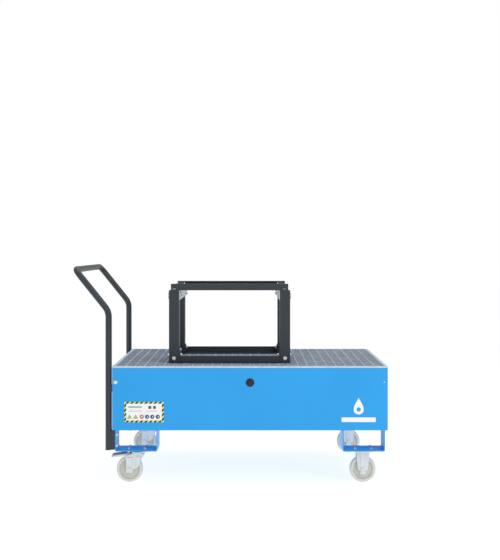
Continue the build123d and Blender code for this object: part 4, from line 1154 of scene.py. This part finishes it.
# ------------------------------------------------------------------ tray
@dataclass
class Tray:
    """The folded sump tray and what is fixed to it.

    Args:
        palette: The dolly's finishes.
        bead: Radius of the weld beads under the tray.
        ripple: Length of one ripple of a weld bead.
        emblem_height: Height of the drop on the tray's face.
        print_lift: How far the print stands off the face.
        stripe: Share of the label's border that is dark.
        rivet_height: How far a rivet's dome stands up.
        emblem_inward: The emblem's middle from the tray's right edge.
        emblem_up: The emblem's middle over the tray's foot.
    """

    palette: Palette
    bead: float = 0.0028
    ripple: float = 0.004
    emblem_height: float = 0.078
    print_lift: float = 0.00035
    stripe: float = 0.56
    rivet_height: float = 0.0018
    emblem_inward: float = 0.138
    emblem_up: float = 0.115

    def build(self) -> None:
        """Builds and dresses the tray."""
        dress(["sump_tray", "grating_ledges", "corner_angles"], self.palette.tray)
        self.plug()
        self.corner_fixings()
        self.welds()
        self.label()
        self.emblem()

    def plug(self) -> None:
        """Rubber plug: a turned lip, a shallow groove and a domed middle, stood on the tray's face."""
        low, high = box_of("inspection_plug")
        radius = (high[0] - low[0]) / 2
        lip = box_of("sump_tray")[0][1] - low[1]
        middle = [(0.02, 1.10), (0.30, 1.06), (0.50, 0.86), (0.58, 0.42), (0.66, 0.42), (0.70, 0.86)]
        rim = [(0.78, 1.0), (0.90, 0.96), (0.97, 0.74), (1.0, 0.4), (1.0, 0.0), (0.74, -0.02), (0.72, -1.9),
               (0.02, -1.9)]
        outline = np.array(middle + rim) * np.array([radius, lip * 0.9])
        centre = ((low[0] + high[0]) / 2, low[1] + lip, (low[2] + high[2]) / 2)
        body = turned(outline, 72).placed(centre, X_AXIS, (0.0, -1.0, 0.0))
        put("plug_body", body, self.palette.rubber, "tray", ("inspection_plug",), sharp=50)

    def corner_fixings(self) -> None:
        """Corner bolts with nuts, and domed rivets."""
        tray = box_of("sump_tray")
        heads = []
        nuts = []
        for low, high in solids_of("corner_bolts"):
            side = int(low[1] > 0)
            heads.append(seat_on(low, high, 1, 2.0 * side - 1.0, tray[side][1]))
        for low, high in solids_of("corner_nuts"):
            inward = 1.0 if low[1] < 0 else -1.0
            nuts.append(seat_on(low, high, 1, inward, low[1] if inward > 0 else high[1]))
        fasteners("corner_fasteners", M10, heads, nuts, PROUD, self.palette.bolts, "tray",
                  ("corner_bolts", "corner_nuts"))
        parts = []
        for low, high in solids_of("corner_rivets"):
            side = int(low[1] > 0)
            centre, way = seat_on(low, high, 1, 2.0 * side - 1.0, tray[side][1])
            radius = (high[0] - low[0]) / 2
            shank = [(radius * 0.5, 0.0), (radius * 0.48, -0.006)]
            outline = np.concatenate([domed(radius, self.rivet_height, 0.06, 9), shank])
            parts.append(turned(outline, 32).placed(centre, X_AXIS, way))
        put("corner_rivet_domes", joined(parts), self.palette.bolts, "tray", ("corner_rivets",),
            sharp=60)

    def welds(self) -> None:
        """Weld beads where each bracket's legs meet the tray: r = bead (1 + 0.16 cos(2 pi s / ripple))."""
        parts = []
        margin = 0.006
        sunk = 0.0006
        for place in PLACES:
            low, high = box_of(f"bracket_{place}")
            for x, lean in ((low[0], -1.0), (high[0], 1.0)):
                s = np.arange(0.0, high[1] - low[1] - 2 * margin, self.ripple / 4)
                path = np.column_stack([np.full(len(s), x + lean * sunk), low[1] + margin + s,
                                        np.full(len(s), high[2] - sunk)])
                ends = np.minimum(1.0, np.minimum(s, s[-1] - s) / 0.004 + 0.35)
                radii = self.bead * (1 + 0.16 * np.cos(2 * np.pi * s / self.ripple)) * ends
                parts.append(carried(path, radii, 14, aside=(0.7, 0.0, 0.7)))
        put("bracket_weld_beads", joined(parts), self.palette.bracket, "tray", sharp=70)

    def label(self) -> None:
        """The stuck-on label: a film with a striped border, blank signs and plain bars for its print."""
        low, high = box_of("label_plate")
        width = float(high[0] - low[0])
        height = float(high[2] - low[2])
        face = float(low[1])
        depth = float(high[1] - low[1])
        corner = (float(low[0]), face + depth, float(low[2]))
        border = 0.0085
        inks = self.palette

        def print_on(name: str, outlines: list[Array], ink: Material, lift: float,
                     replaces: tuple[str, ...] = ()) -> None:
            """Prints outlines, drawn from the label's lower left corner, at a height over the tray's face.

            Args:
                name: The piece's name.
                outlines: The outlines, each as (n, 2).
                ink: Its finish.
                lift: How far it stands off the face.
                replaces: The CAD nodes that it stands for.
            """
            flat = [slab(outline, lift, INK_EDGE, 1) for outline in outlines]
            prints = joined([one.placed(corner, X_AXIS, (0.0, -1.0, 0.0)) for one in flat])
            put(name, prints, ink, "tray", replaces, sharp=30)

        film = rounded_profile([(0, 0, 0.003), (width, 0, 0.003), (width, height, 0.003), (0, height, 0.003)])
        print_on("label_film_yellow", [film], inks.film_yellow, depth * 0.7, ("label_plate",))
        inner = rounded_profile([(border, border, 0.001), (width - border, border, 0.001),
                                 (width - border, height - border, 0.001), (border, height - border, 0.001)])
        print_on("label_panel", [inner], inks.film_white, depth * 0.85)
        stripes = self.stripes(width, height, border)
        print_on("label_stripes", stripes, inks.film_black, depth * 0.9)
        row = 0.272 * height
        size = 0.0105
        triangle = np.array([(-1.0, -0.8), (1.0, -0.8), (0.0, 0.95)])
        angle = np.linspace(0, 2 * np.pi, 40, endpoint=False)
        disc = np.column_stack([np.cos(angle), np.sin(angle)])
        signs = np.array([0.128, 0.286, 0.440, 0.577, 0.711, 0.849]) * width
        edges = [triangle * size + (x, row) for x in signs[:2]]
        print_on("label_sign_edges", edges, inks.film_black, depth * 0.95)
        fills = [triangle * size * 0.66 + (x, row - 0.0006) for x in signs[:2]]
        print_on("label_sign_fills", fills, inks.film_yellow, depth)
        marks = [disc * size * 0.2 + (x, row - 0.0014) for x in signs[:2]]
        print_on("label_sign_marks", marks, inks.film_black, depth * 1.03)
        print_on("label_ban_sign", [disc * size * 0.95 + (signs[2], row)], inks.film_red, depth * 0.95)
        print_on("label_ban_middle", [disc * size * 0.5 + (signs[2], row)], inks.film_white, depth)
        slash = np.array([(-0.62, 0.42), (-0.42, 0.62), (0.62, -0.42), (0.42, -0.62)]) * size
        slash = slash + (signs[2], row)
        print_on("label_ban_slash", [slash[::-1]], inks.film_red, depth * 1.03)
        print_on("label_duty_signs", [disc * size * 0.95 + (x, row) for x in signs[3:]], inks.film_blue,
                 depth * 0.95)
        crescent = np.array([(-0.1, -0.6), (0.5, -0.35), (0.5, 0.35), (-0.1, 0.6), (0.14, 0.0)])
        duty = [crescent * size * 0.8 + (x, row) for x in signs[3:]]
        print_on("label_duty_middles", duty, inks.film_white, depth)

        def bar(left: float, right: float, foot: float, top: float) -> Array:
            """A plain bar, by shares of the label's width and height."""
            return np.array([(left * width, foot * height), (right * width, foot * height),
                             (right * width, top * height), (left * width, top * height)])

        bars = [bar(0.10, 0.44, 0.71, 0.79), bar(0.10, 0.44, 0.535, 0.56), bar(0.56, 0.83, 0.535, 0.56)]
        print_on("label_bars", bars, inks.film_grey, depth * 0.95)
        squares = [bar(0.61, 0.685, 0.66, 0.80), bar(0.73, 0.80, 0.66, 0.80)]
        print_on("label_squares", squares, inks.film_violet, depth * 0.95)

    def stripes(self, width: float, height: float, border: float) -> list[Array]:
        """Dark slanted stripes of the border: parallelograms, each as wide as the gap to the next.

        Args:
            width: The label's width.
            height: The label's height.
            border: The border's width.

        Returns:
            Each stripe's outline.
        """
        outlines = []
        lean = border
        for count, length, across in ((8, width, False), (4, height, True)):
            pitch = (length - lean) / count
            for step in range(count):
                start = step * pitch + 0.16 * pitch
                finish = start + self.stripe * pitch
                stripe = np.array([(start, 0.0), (finish, 0.0), (finish + lean, border),
                                   (start + lean, border)])
                stripe[:, 0] = np.minimum(stripe[:, 0], length)
                if across:
                    stripe = stripe[:, ::-1]
                    outlines += [stripe[::-1], (stripe + (width - border, 0.0))[::-1]]
                else:
                    outlines += [stripe, stripe + (0.0, height - border)]
        return outlines

    def emblem(self) -> None:
        """A plain white drop over a plain bar: x = w sin t sin(t/2)^1.4, z = h cos t."""
        low, high = box_of("sump_tray")
        centre_x = float(high[0]) - self.emblem_inward
        centre_z = float(low[2]) + self.emblem_up
        bar_half, bar_foot, bar_top, bar_round = 0.081, 0.075, 0.053, 0.004
        t = np.linspace(0, 2 * np.pi, 72, endpoint=False)
        drop = np.column_stack([np.sin(t) * np.abs(np.sin(t / 2)) ** 1.4 * 0.42, 0.5 * np.cos(t)])
        drop = drop * self.emblem_height
        ring = np.column_stack([np.cos(t), np.sin(t)]) * self.emblem_height
        bar = rounded_profile([(centre_x - bar_half, centre_z - bar_foot, bar_round),
                               (centre_x + bar_half, centre_z - bar_foot, bar_round),
                               (centre_x + bar_half, centre_z - bar_top, bar_round),
                               (centre_x - bar_half, centre_z - bar_top, bar_round)])
        glint = ring * 0.13 + (centre_x, centre_z - 0.2 * self.emblem_height)

        def printed(outline: Array, lift: float) -> Surface:
            """Print of an outline on the tray's front face."""
            return slab(outline, lift, INK_EDGE, 1).placed((0.0, float(low[1]), 0.0), X_AXIS, (0, -1, 0))

        white = [printed(drop[::-1] + (centre_x, centre_z), self.print_lift), printed(bar, self.print_lift)]
        put("emblem_print", joined(white), self.palette.film_white, "tray", sharp=30)
        dot = printed(glint, self.print_lift * 1.4)
        put("emblem_middle", dot, self.palette.tray, "tray", sharp=30)


# ------------------------------------------------------------------ grating
@dataclass
class Grating:
    """The lift-out bar grating.

    Args:
        palette: The dolly's finishes.
        bar: Thickness of its frame bars.
        bearing_bar: Thickness of the deep bars that run across the tray.
        cross_bar: Thickness of the shallow bars that run along the tray.
        spaces_x: Spaces between the bars that run across the tray.
        spaces_y: Spaces between the bars that run along the tray.
        cross_depth: Depth of the bars that run along the tray.
    """

    palette: Palette
    bar: float = 0.003
    bearing_bar: float = 0.0038
    cross_bar: float = 0.0024
    spaces_x: int = 28
    spaces_y: int = 24
    cross_depth: float = 0.012

    def build(self) -> None:
        """Builds the grating: deep bars across the tray, shallow bars along it and a frame of flat bars."""
        low, high = box_of("grating")
        half = self.bar / 2
        xs = np.linspace(low[0] + half, high[0] - half, self.spaces_x + 1)
        ys = np.linspace(low[1] + half, high[1] - half, self.spaces_y + 1)
        drop = 0.0003
        spans = (low[1] + self.bar, high[1] - self.bar)
        bearing = [self.bar_between((x, low[1], low[2]), (x, high[1], high[2]), self.bar)
                   for x in (xs[0], xs[-1])]
        bearing += [self.bar_between((x, spans[0], low[2]), (x, spans[1], high[2] - drop), self.bearing_bar)
                    for x in xs[1:-1]]
        put("grating_bearing_bars", joined(bearing), self.palette.bearing, "grating_panel",
            ("grating",), sharp=30)
        foot = high[2] - self.cross_depth
        ends = (low[0] + self.bar, high[0] - self.bar)
        cross = [self.bar_between((ends[0], y, foot), (ends[1], y, high[2] - 2 * drop), self.cross_bar, 0)
                 for y in ys[1:-1]]
        cross += [self.bar_between((ends[0], y, low[2]), (ends[1], y, high[2]), self.bar, 0)
                  for y in (ys[0], ys[-1])]
        put("grating_cross_bars", joined(cross), self.palette.cross, "grating_panel",
            sharp=30)
        # The edging's finish carries the painted highlight along the rim.
        dress(["grating_edging"], self.palette.edging)

    def bar_between(self, low: Point, high: Point, thick: float, along: int = 1) -> Surface:
        """A flat bar with softened edges, standing on edge.

        Args:
            low: One end of its foot's middle line.
            high: The other end of its top's middle line.
            thick: Its thickness.
            along: The axis that it runs along: 0 or 1.

        Returns:
            The bar.
        """
        edge = 0.0005
        half = thick / 2
        corners = [(-half, low[2]), (half, low[2]), (half, high[2]), (-half, high[2])]
        section = rounded_profile([(x, z, edge) for x, z in corners], 1)
        across = section[:, 0] + low[1 - along]
        rows = []
        for end in (low[along], high[along]):
            ends = np.full(len(section), end)
            flat = [ends, across] if along == 0 else [across, ends]
            rows.append(np.column_stack([*flat, section[:, 1]]))
        return rings(np.stack(rows))


# ------------------------------------------------------------------ handle
@dataclass
class Handle:
    """The bent push handle.

    Args:
        palette: The dolly's finishes.
        elbow: Bend radius where the legs lean out.
        corner: Bend radius where the legs meet the top bar.
        elbow_height: Height at which the legs' axes start to lean.
        screw: Radius of the dark screw on each leg.
    """

    palette: Palette
    elbow: float = 0.080
    corner: float = 0.045
    elbow_height: float = 0.816
    screw: float = 0.0042

    def build(self) -> None:
        """Builds and dresses the handle."""
        low, high = box_of("handle_tube")
        caps = solids_of("handle_caps")
        radius = float(caps[0][1][0] - caps[0][0][0]) / 2
        leg_x = float(caps[0][0][0] + caps[0][1][0]) / 2
        top_x = float(low[0]) + radius
        top_z = float(high[2]) - radius
        near = float(low[1]) + radius
        far = float(high[1]) - radius
        foot = float(low[2])
        points = np.array([(leg_x, near, foot), (leg_x, near, self.elbow_height), (top_x, near, top_z),
                           (top_x, far, top_z), (leg_x, far, self.elbow_height), (leg_x, far, foot)])
        path = bent_path(points, [self.elbow, self.corner, self.corner, self.elbow])
        tube = carried(path, np.full(len(path), radius), 56)
        put("handle_bent_tube", tube, self.palette.anthracite, "tray", ("handle_tube",),
            sharp=60)
        dress(["handle_lugs", "handle_spacers"], self.palette.anthracite)
        dress(["handle_caps"], self.palette.plastic)
        heads = [seat_on(*solid, 0, 1.0, solid[1][0] - M10.head) for solid in solids_of("handle_bolts")]
        fasteners("handle_bolt_heads", M10, heads, [], 0.0, self.palette.bolts, "tray", ("handle_bolts",))
        self.screws(leg_x, radius)

    def screws(self, leg_x: float, radius: float) -> None:
        """A domed dark screw on the outer side of each leg, level with the corner bolts.

        Args:
            leg_x: Where the legs stand along X.
            radius: Radius of the tube.
        """
        height = float(sum(box_of("corner_bolts")[i][2] for i in (0, 1)) / 2)
        dome_height = 0.0016
        sunk = -0.004
        dome = domed(self.screw, dome_height, 0.08, 8)
        outline = np.concatenate([dome, [(self.screw, sunk), (self.screw * 0.2, sunk)]])
        parts = []
        for low, high in solids_of("handle_caps"):
            y = float(low[1] + high[1]) / 2
            way = -1.0 if y < 0 else 1.0
            turn = math.radians(20)
            out = (math.sin(turn), way * math.cos(turn), 0.0)
            seat = (leg_x + radius * out[0], y + radius * out[1], height)
            parts.append(turned(outline, 28).placed(seat, Z_AXIS, out))
        put("handle_leg_screws", joined(parts), self.palette.plastic, "tray", sharp=60)


# ------------------------------------------------------------------ castors
@dataclass
class Wheel:
    """One moulded wheel with its bush.

    Args:
        palette: The dolly's finishes.
        place: Which corner of the dolly it is at.
        web: Radius of the recessed web.
        hub: Radius of the hub.
        recess: Depth of the recess on each side.
        half_width: Half the rim's width.
    """

    palette: Palette
    place: str
    web: float = 0.047
    hub: float = 0.019
    recess: float = 0.007
    half_width: float = 0.018

    def build(self) -> None:
        """Builds the rim and the web with its hub, turned about the axle, and dresses the bush."""
        low, high = box_of(f"wheel_{self.place}")
        bush_low, bush_high = box_of(f"bush_{self.place}")
        centre = middle_of(low, high)
        radius = float(high[2] - low[2]) / 2
        half_hub = float(high[1] - low[1]) / 2
        bore = float(bush_high[2] - bush_low[2]) / 2
        body = f"wheel_{self.place}_body"
        half = self.half_width
        tread = rounded_profile(both_sides([
            (self.web + 0.0005, -half, 0.0010), (self.web + 0.0045, -half + 0.0006, 0.001),
            (radius - 0.007, -half, 0.002), (radius - 0.0015, -half + 0.0035, 0.0022),
            (radius, -half + 0.011, 0.005),
        ]), 4)
        rim = turned(tread, 128, looped=True).placed(centre, X_AXIS, Y_AXIS)
        put(f"wheel_rim_{self.place}", rim, self.palette.nylon, body, (f"wheel_{self.place}",),
            sharp=50)
        floor = half - self.recess
        disc = rounded_profile(both_sides([
            (bore, -half_hub, 0.0008), (self.hub - 0.002, -half_hub, 0.0012),
            (self.hub, -floor - 0.001, 0.0018), (self.hub + 0.012, -floor - 0.0008, 0.004),
            (self.web - 0.006, -floor, 0.004), (self.web + 0.0006, -floor - 0.002, 0.0015),
        ]), 4)
        web = turned(disc, 128, looped=True).placed(centre, X_AXIS, Y_AXIS)
        # The web's finish is darker than the rim's: painted shade in its recess.
        put(f"wheel_web_{self.place}", web, self.palette.web, body, sharp=50)
        dress([f"bush_{self.place}"], self.palette.bolts)


@dataclass
class Castors:
    """Brackets, plates, forks, axles, brakes and wheels at the four corners.

    Args:
        palette: The dolly's finishes.
    """

    palette: Palette

    def build(self) -> None:
        """Builds and dresses everything under the tray."""
        dress([f"bracket_{place}" for place in PLACES], self.palette.bracket)
        dress([f"swivel_fork_{side}" for side in SIDES], self.palette.zinc)
        dress([f"fixed_fork_{side}" for side in SIDES], self.palette.zinc)
        dress(["swivel_plates", "kingpins"], self.palette.zinc)
        dress([f"brake_pedal_{side}" for side in SIDES], self.palette.zinc)
        # The pads' finish paints a highlight on their rib tips.
        dress([f"brake_pad_{side}" for side in SIDES], self.palette.pad)
        for place in PLACES:
            Wheel(self.palette, place).build()
        self.plate_fasteners()
        self.axles()
        self.race_seals()

    def plate_fasteners(self) -> None:
        """The bolts and nuts that hold each castor's plate to its bracket."""
        heads = [seat_on(low, high, 2, -1.0, low[2] + M8.head) for low, high in solids_of("castor_bolts")]
        nuts = [seat_on(low, high, 2, 1.0, low[2]) for low, high in solids_of("castor_nuts")]
        fasteners("castor_plate_fasteners", M8, heads, nuts, PROUD, self.palette.bolts, "tray",
                  ("castor_bolts", "castor_nuts"))

    def axles(self) -> None:
        """Axle bolts: a head outside one cheek, a nut outside the other and a plain shank between."""
        for side in SIDES:
            self.axle(f"swivel_axle_{side}", solids_of(f"swivel_axle_{side}"), f"swivel_{side}")
        self.axle("fixed_axles", solids_of("fixed_axles"), "tray")

    def axle(self, node: str, solids: list[Box], body: str) -> None:
        """Stands for one CAD node of axles.

        Args:
            node: The CAD node.
            solids: Boxes of its solids.
            body: The body it belongs to.
        """
        parts = []
        for low, high in solids:
            centre = middle_of(low, high)
            half = float(high[1] - low[1]) / 2
            end = half - 0.004
            edge = 0.0001
            shank = rounded_profile(both_sides([(0.0004, -end, edge), (M12.shank / 2, -end, edge)]), 1)
            parts.append(turned(shank, 40, looped=True).placed(centre, X_AXIS, Y_AXIS))
            for way in (-1.0, 1.0):
                seat = (centre[0], centre[1] + way * (half - M12.head), centre[2])
                parts.append(M12.block(M12.head, M12.shank / 2).placed(seat, Z_AXIS, (0.0, way, 0.0)))
        put(f"{node}_bolt", joined(parts), self.palette.bolts, body, (node,), sharp=32)

    def race_seals(self) -> None:
        """A dark ring seal round each swivel race, just under its plate."""
        inner, outer, half, gap = 0.0305, 0.0338, 0.0016, 0.0042
        height = box_of("swivel_plates")[0][2] - gap
        for side, (low, high) in zip(SIDES, solids_of("kingpins")):
            centre, _ = seat_on(low, high, 2, 1.0, height)
            outline = rounded_profile([(inner, -half, 0.0008), (outer, -half, 0.0012),
                                       (outer, 0.0010, 0.0012), (inner, half, 0.0008)], 4)
            ring = turned(outline, 72, looped=True).placed(centre)
            put(f"race_seal_{side}", ring, self.palette.rubber, f"swivel_{side}", sharp=60)


# ------------------------------------------------------------------ stand
@dataclass
class Stand:
    """The bolted drum stand with its rollers.

    Args:
        palette: The dolly's finishes.
    """

    palette: Palette

    def build(self) -> None:
        """Builds and dresses the stand."""
        dress([f"stand_upright_{place}" for place in PLACES], self.palette.anthracite)
        dress([f"low_rail_{side}" for side in ("front", "rear", "left", "right")], self.palette.anthracite)
        dress([f"top_rail_{side}" for side in SIDES], self.palette.anthracite)
        dress(["cradle_plates"], self.palette.cradle)
        self.bolts()
        self.rollers()

    def bolts(self) -> None:
        """Bolt heads and nuts of the stand, each set on the seat that its CAD solid has."""
        centre = middle_of(*box_of("stand_bolts"))
        widest_m8, tallest_m8 = 0.0145, 0.007
        heads: dict[HexSize, list[Seat]] = {M8: [], M10: []}
        nuts: dict[HexSize, list[Seat]] = {M8: [], M10: []}
        for low, high in solids_of("stand_bolts"):
            span = high - low
            axis = int(np.argmax(span))
            size = M8 if float(np.sort(span)[0]) < widest_m8 else M10
            way = 1.0 if axis == 2 or (low + high)[axis] / 2 > centre[axis] else -1.0
            seat = (high if way > 0 else low)[axis] - way * size.head
            heads[size].append(seat_on(low, high, axis, way, seat))
        for low, high in solids_of("stand_nuts"):
            span = high - low
            axis = int(np.argmin(span))
            size = M8 if float(span[axis]) < tallest_m8 else M10
            way = -1.0 if axis == 2 or (low + high)[axis] / 2 > centre[axis] else 1.0
            nuts[size].append(seat_on(low, high, axis, way, (low if way > 0 else high)[axis]))
        fasteners("stand_large_fasteners", M10, heads[M10], nuts[M10], PROUD, self.palette.bolts, "stand",
                  ("stand_bolts", "stand_nuts"))
        fasteners("stand_small_fasteners", M8, heads[M8], nuts[M8], PROUD, self.palette.bolts, "stand", ())

    def rollers(self) -> None:
        """Drum rollers: a crowned dark tyre on each pin, dished at each end."""
        for place in PLACES:
            low, high = box_of(f"roller_{place}")
            centre = middle_of(low, high)
            radius = float(high[2] - low[2]) / 2
            half = float(high[0] - low[0]) / 2
            u = np.linspace(-1, 1, 15)
            crown = np.column_stack([radius - 0.0035 * np.abs(u) ** 6, u * half])
            face = np.array([(0.013, half), (0.012, half - 0.002), (0.0078, half - 0.002), (0.0074, half),
                             (0.00508, half)])
            back = face[::-1] * np.array([1.0, -1.0])
            outline = np.concatenate([crown, face, back])
            roller = turned(outline, 72, looped=True).placed(centre, Z_AXIS, X_AXIS)
            put(f"roller_tyre_{place}", roller, self.palette.rubber, f"roller_{place}_body",
                (f"roller_{place}",), sharp=40)
        dress(["roller_pins"], self.palette.bolts)


# ------------------------------------------------------------------ stage
@dataclass
class Stage:
    """Floor, lights and camera.

    Args:
        focal: The lens's focal length in millimetres on a 36 mm sensor.
        drop: How far the picture is shifted down, as a share of its long side.
        height: The camera's height over the floor.
        distance: From the camera to the middle of the dolly's width.
        surround: Strength of the surround as a light.
        floor_glow: Strength of the floor's own light.
        lamps: Name, place, size and power of each area light.
    """

    focal: float = 62.5
    drop: float = -0.0558
    height: float = 1.1115
    distance: float = 4.980
    surround: float = 0.52
    floor_glow: float = 0.8
    lamps: tuple[tuple[str, Point, float, float], ...] = (
        ("key_light", (3.2, -3.6, 3.4), 2.6, 70.0),
        ("fill_light", (-3.8, -3.2, 2.6), 3.0, 14.0),
        ("top_light", (0.3, 0.4, 4.2), 3.5, 62.0),
    )

    def build(self) -> None:
        """Builds the stage."""
        self.floor()
        self.world()
        self.lights()
        self.camera()

    def floor(self) -> None:
        """A wide pale floor, lit a little from within so that it stays even out to the horizon."""
        reach = 60.0
        corners = np.array([(-1, -1, 0), (1, -1, 0), (1, 1, 0), (-1, 1, 0)]) * reach
        mesh = bpy.data.meshes.new("studio_floor")
        mesh.from_pydata(corners.tolist(), [], [(0, 1, 2, 3)])
        material = bpy.data.materials.new("studio_floor")
        material.use_nodes = True
        shader = material.node_tree.nodes["Principled BSDF"]
        graph = Graph(material.node_tree)
        place = graph.add("ShaderNodeTexCoord").outputs["Object"]
        noise = graph.add("ShaderNodeTexNoise", {"Vector": place, "Scale": 1.5, "Detail": 3.0}).outputs["Fac"]
        pale = graph.mixed(noise, (0.34, 0.34, 0.34, 1), (0.36, 0.36, 0.36, 1))
        graph.feed(shader, "Base Color", pale)
        shader.inputs["Roughness"].default_value = 0.8
        shader.inputs["Specular IOR Level"].default_value = 0.1
        shader.inputs["Emission Color"].default_value = (1.0, 1.0, 1.0, 1.0)
        shader.inputs["Emission Strength"].default_value = self.floor_glow
        mesh.materials.append(material)
        floor = bpy.data.objects.new("studio_floor", mesh)
        bpy.context.scene.collection.objects.link(floor)

    def world(self) -> None:
        """An even surround, white to the eye and dimmer as a light."""
        world = bpy.data.worlds.new("studio_white")
        world.use_nodes = True
        graph = Graph(world.node_tree)
        seen = graph.add("ShaderNodeLightPath").outputs["Is Camera Ray"]
        strength = graph.ranged(seen, 0.0, 1.0, self.surround, 1.0)
        background = world.node_tree.nodes["Background"]
        background.inputs["Color"].default_value = (1.0, 1.0, 1.0, 1.0)
        world.node_tree.links.new(strength, background.inputs["Strength"])
        bpy.context.scene.world = world
        bpy.context.scene.view_settings.view_transform = "Standard"

    def lights(self) -> None:
        """A large key from the front right, a softer fill from the left and a top light."""
        for name, place, size, power in self.lamps:
            lamp = bpy.data.lights.new(name, "AREA")
            lamp.shape = "SQUARE"
            lamp.size = size
            lamp.energy = power
            light = bpy.data.objects.new(name, lamp)
            bpy.context.scene.collection.objects.link(light)
            light.location = place
            aim = Vector((0.0, 0.0, 0.5)) - Vector(place)
            light.rotation_euler = aim.to_track_quat("-Z", "Y").to_euler()

    def camera(self) -> None:
        """A level camera in front of the tray's middle."""
        low, high = box_of("sump_tray")
        lens = bpy.data.cameras.new("camera")
        lens.lens = self.focal
        lens.sensor_width = 36.0
        lens.shift_y = self.drop
        lens.clip_end = 60.0
        camera = bpy.data.objects.new("camera", lens)
        bpy.context.scene.collection.objects.link(camera)
        middle = middle_of(low, high)
        camera.location = (middle[0], middle[1] - self.distance, self.height)
        camera.rotation_euler = (math.pi / 2, 0.0, 0.0)
        bpy.context.scene.camera = camera


def main() -> None:
    """Builds the dolly's looks in order."""
    palette = Palette(Effects())
    Stage().build()
    Tray(palette).build()
    Grating(palette).build()
    Handle(palette).build()
    Castors(palette).build()
    Stand(palette).build()


if __name__ == "__main__":
    main()
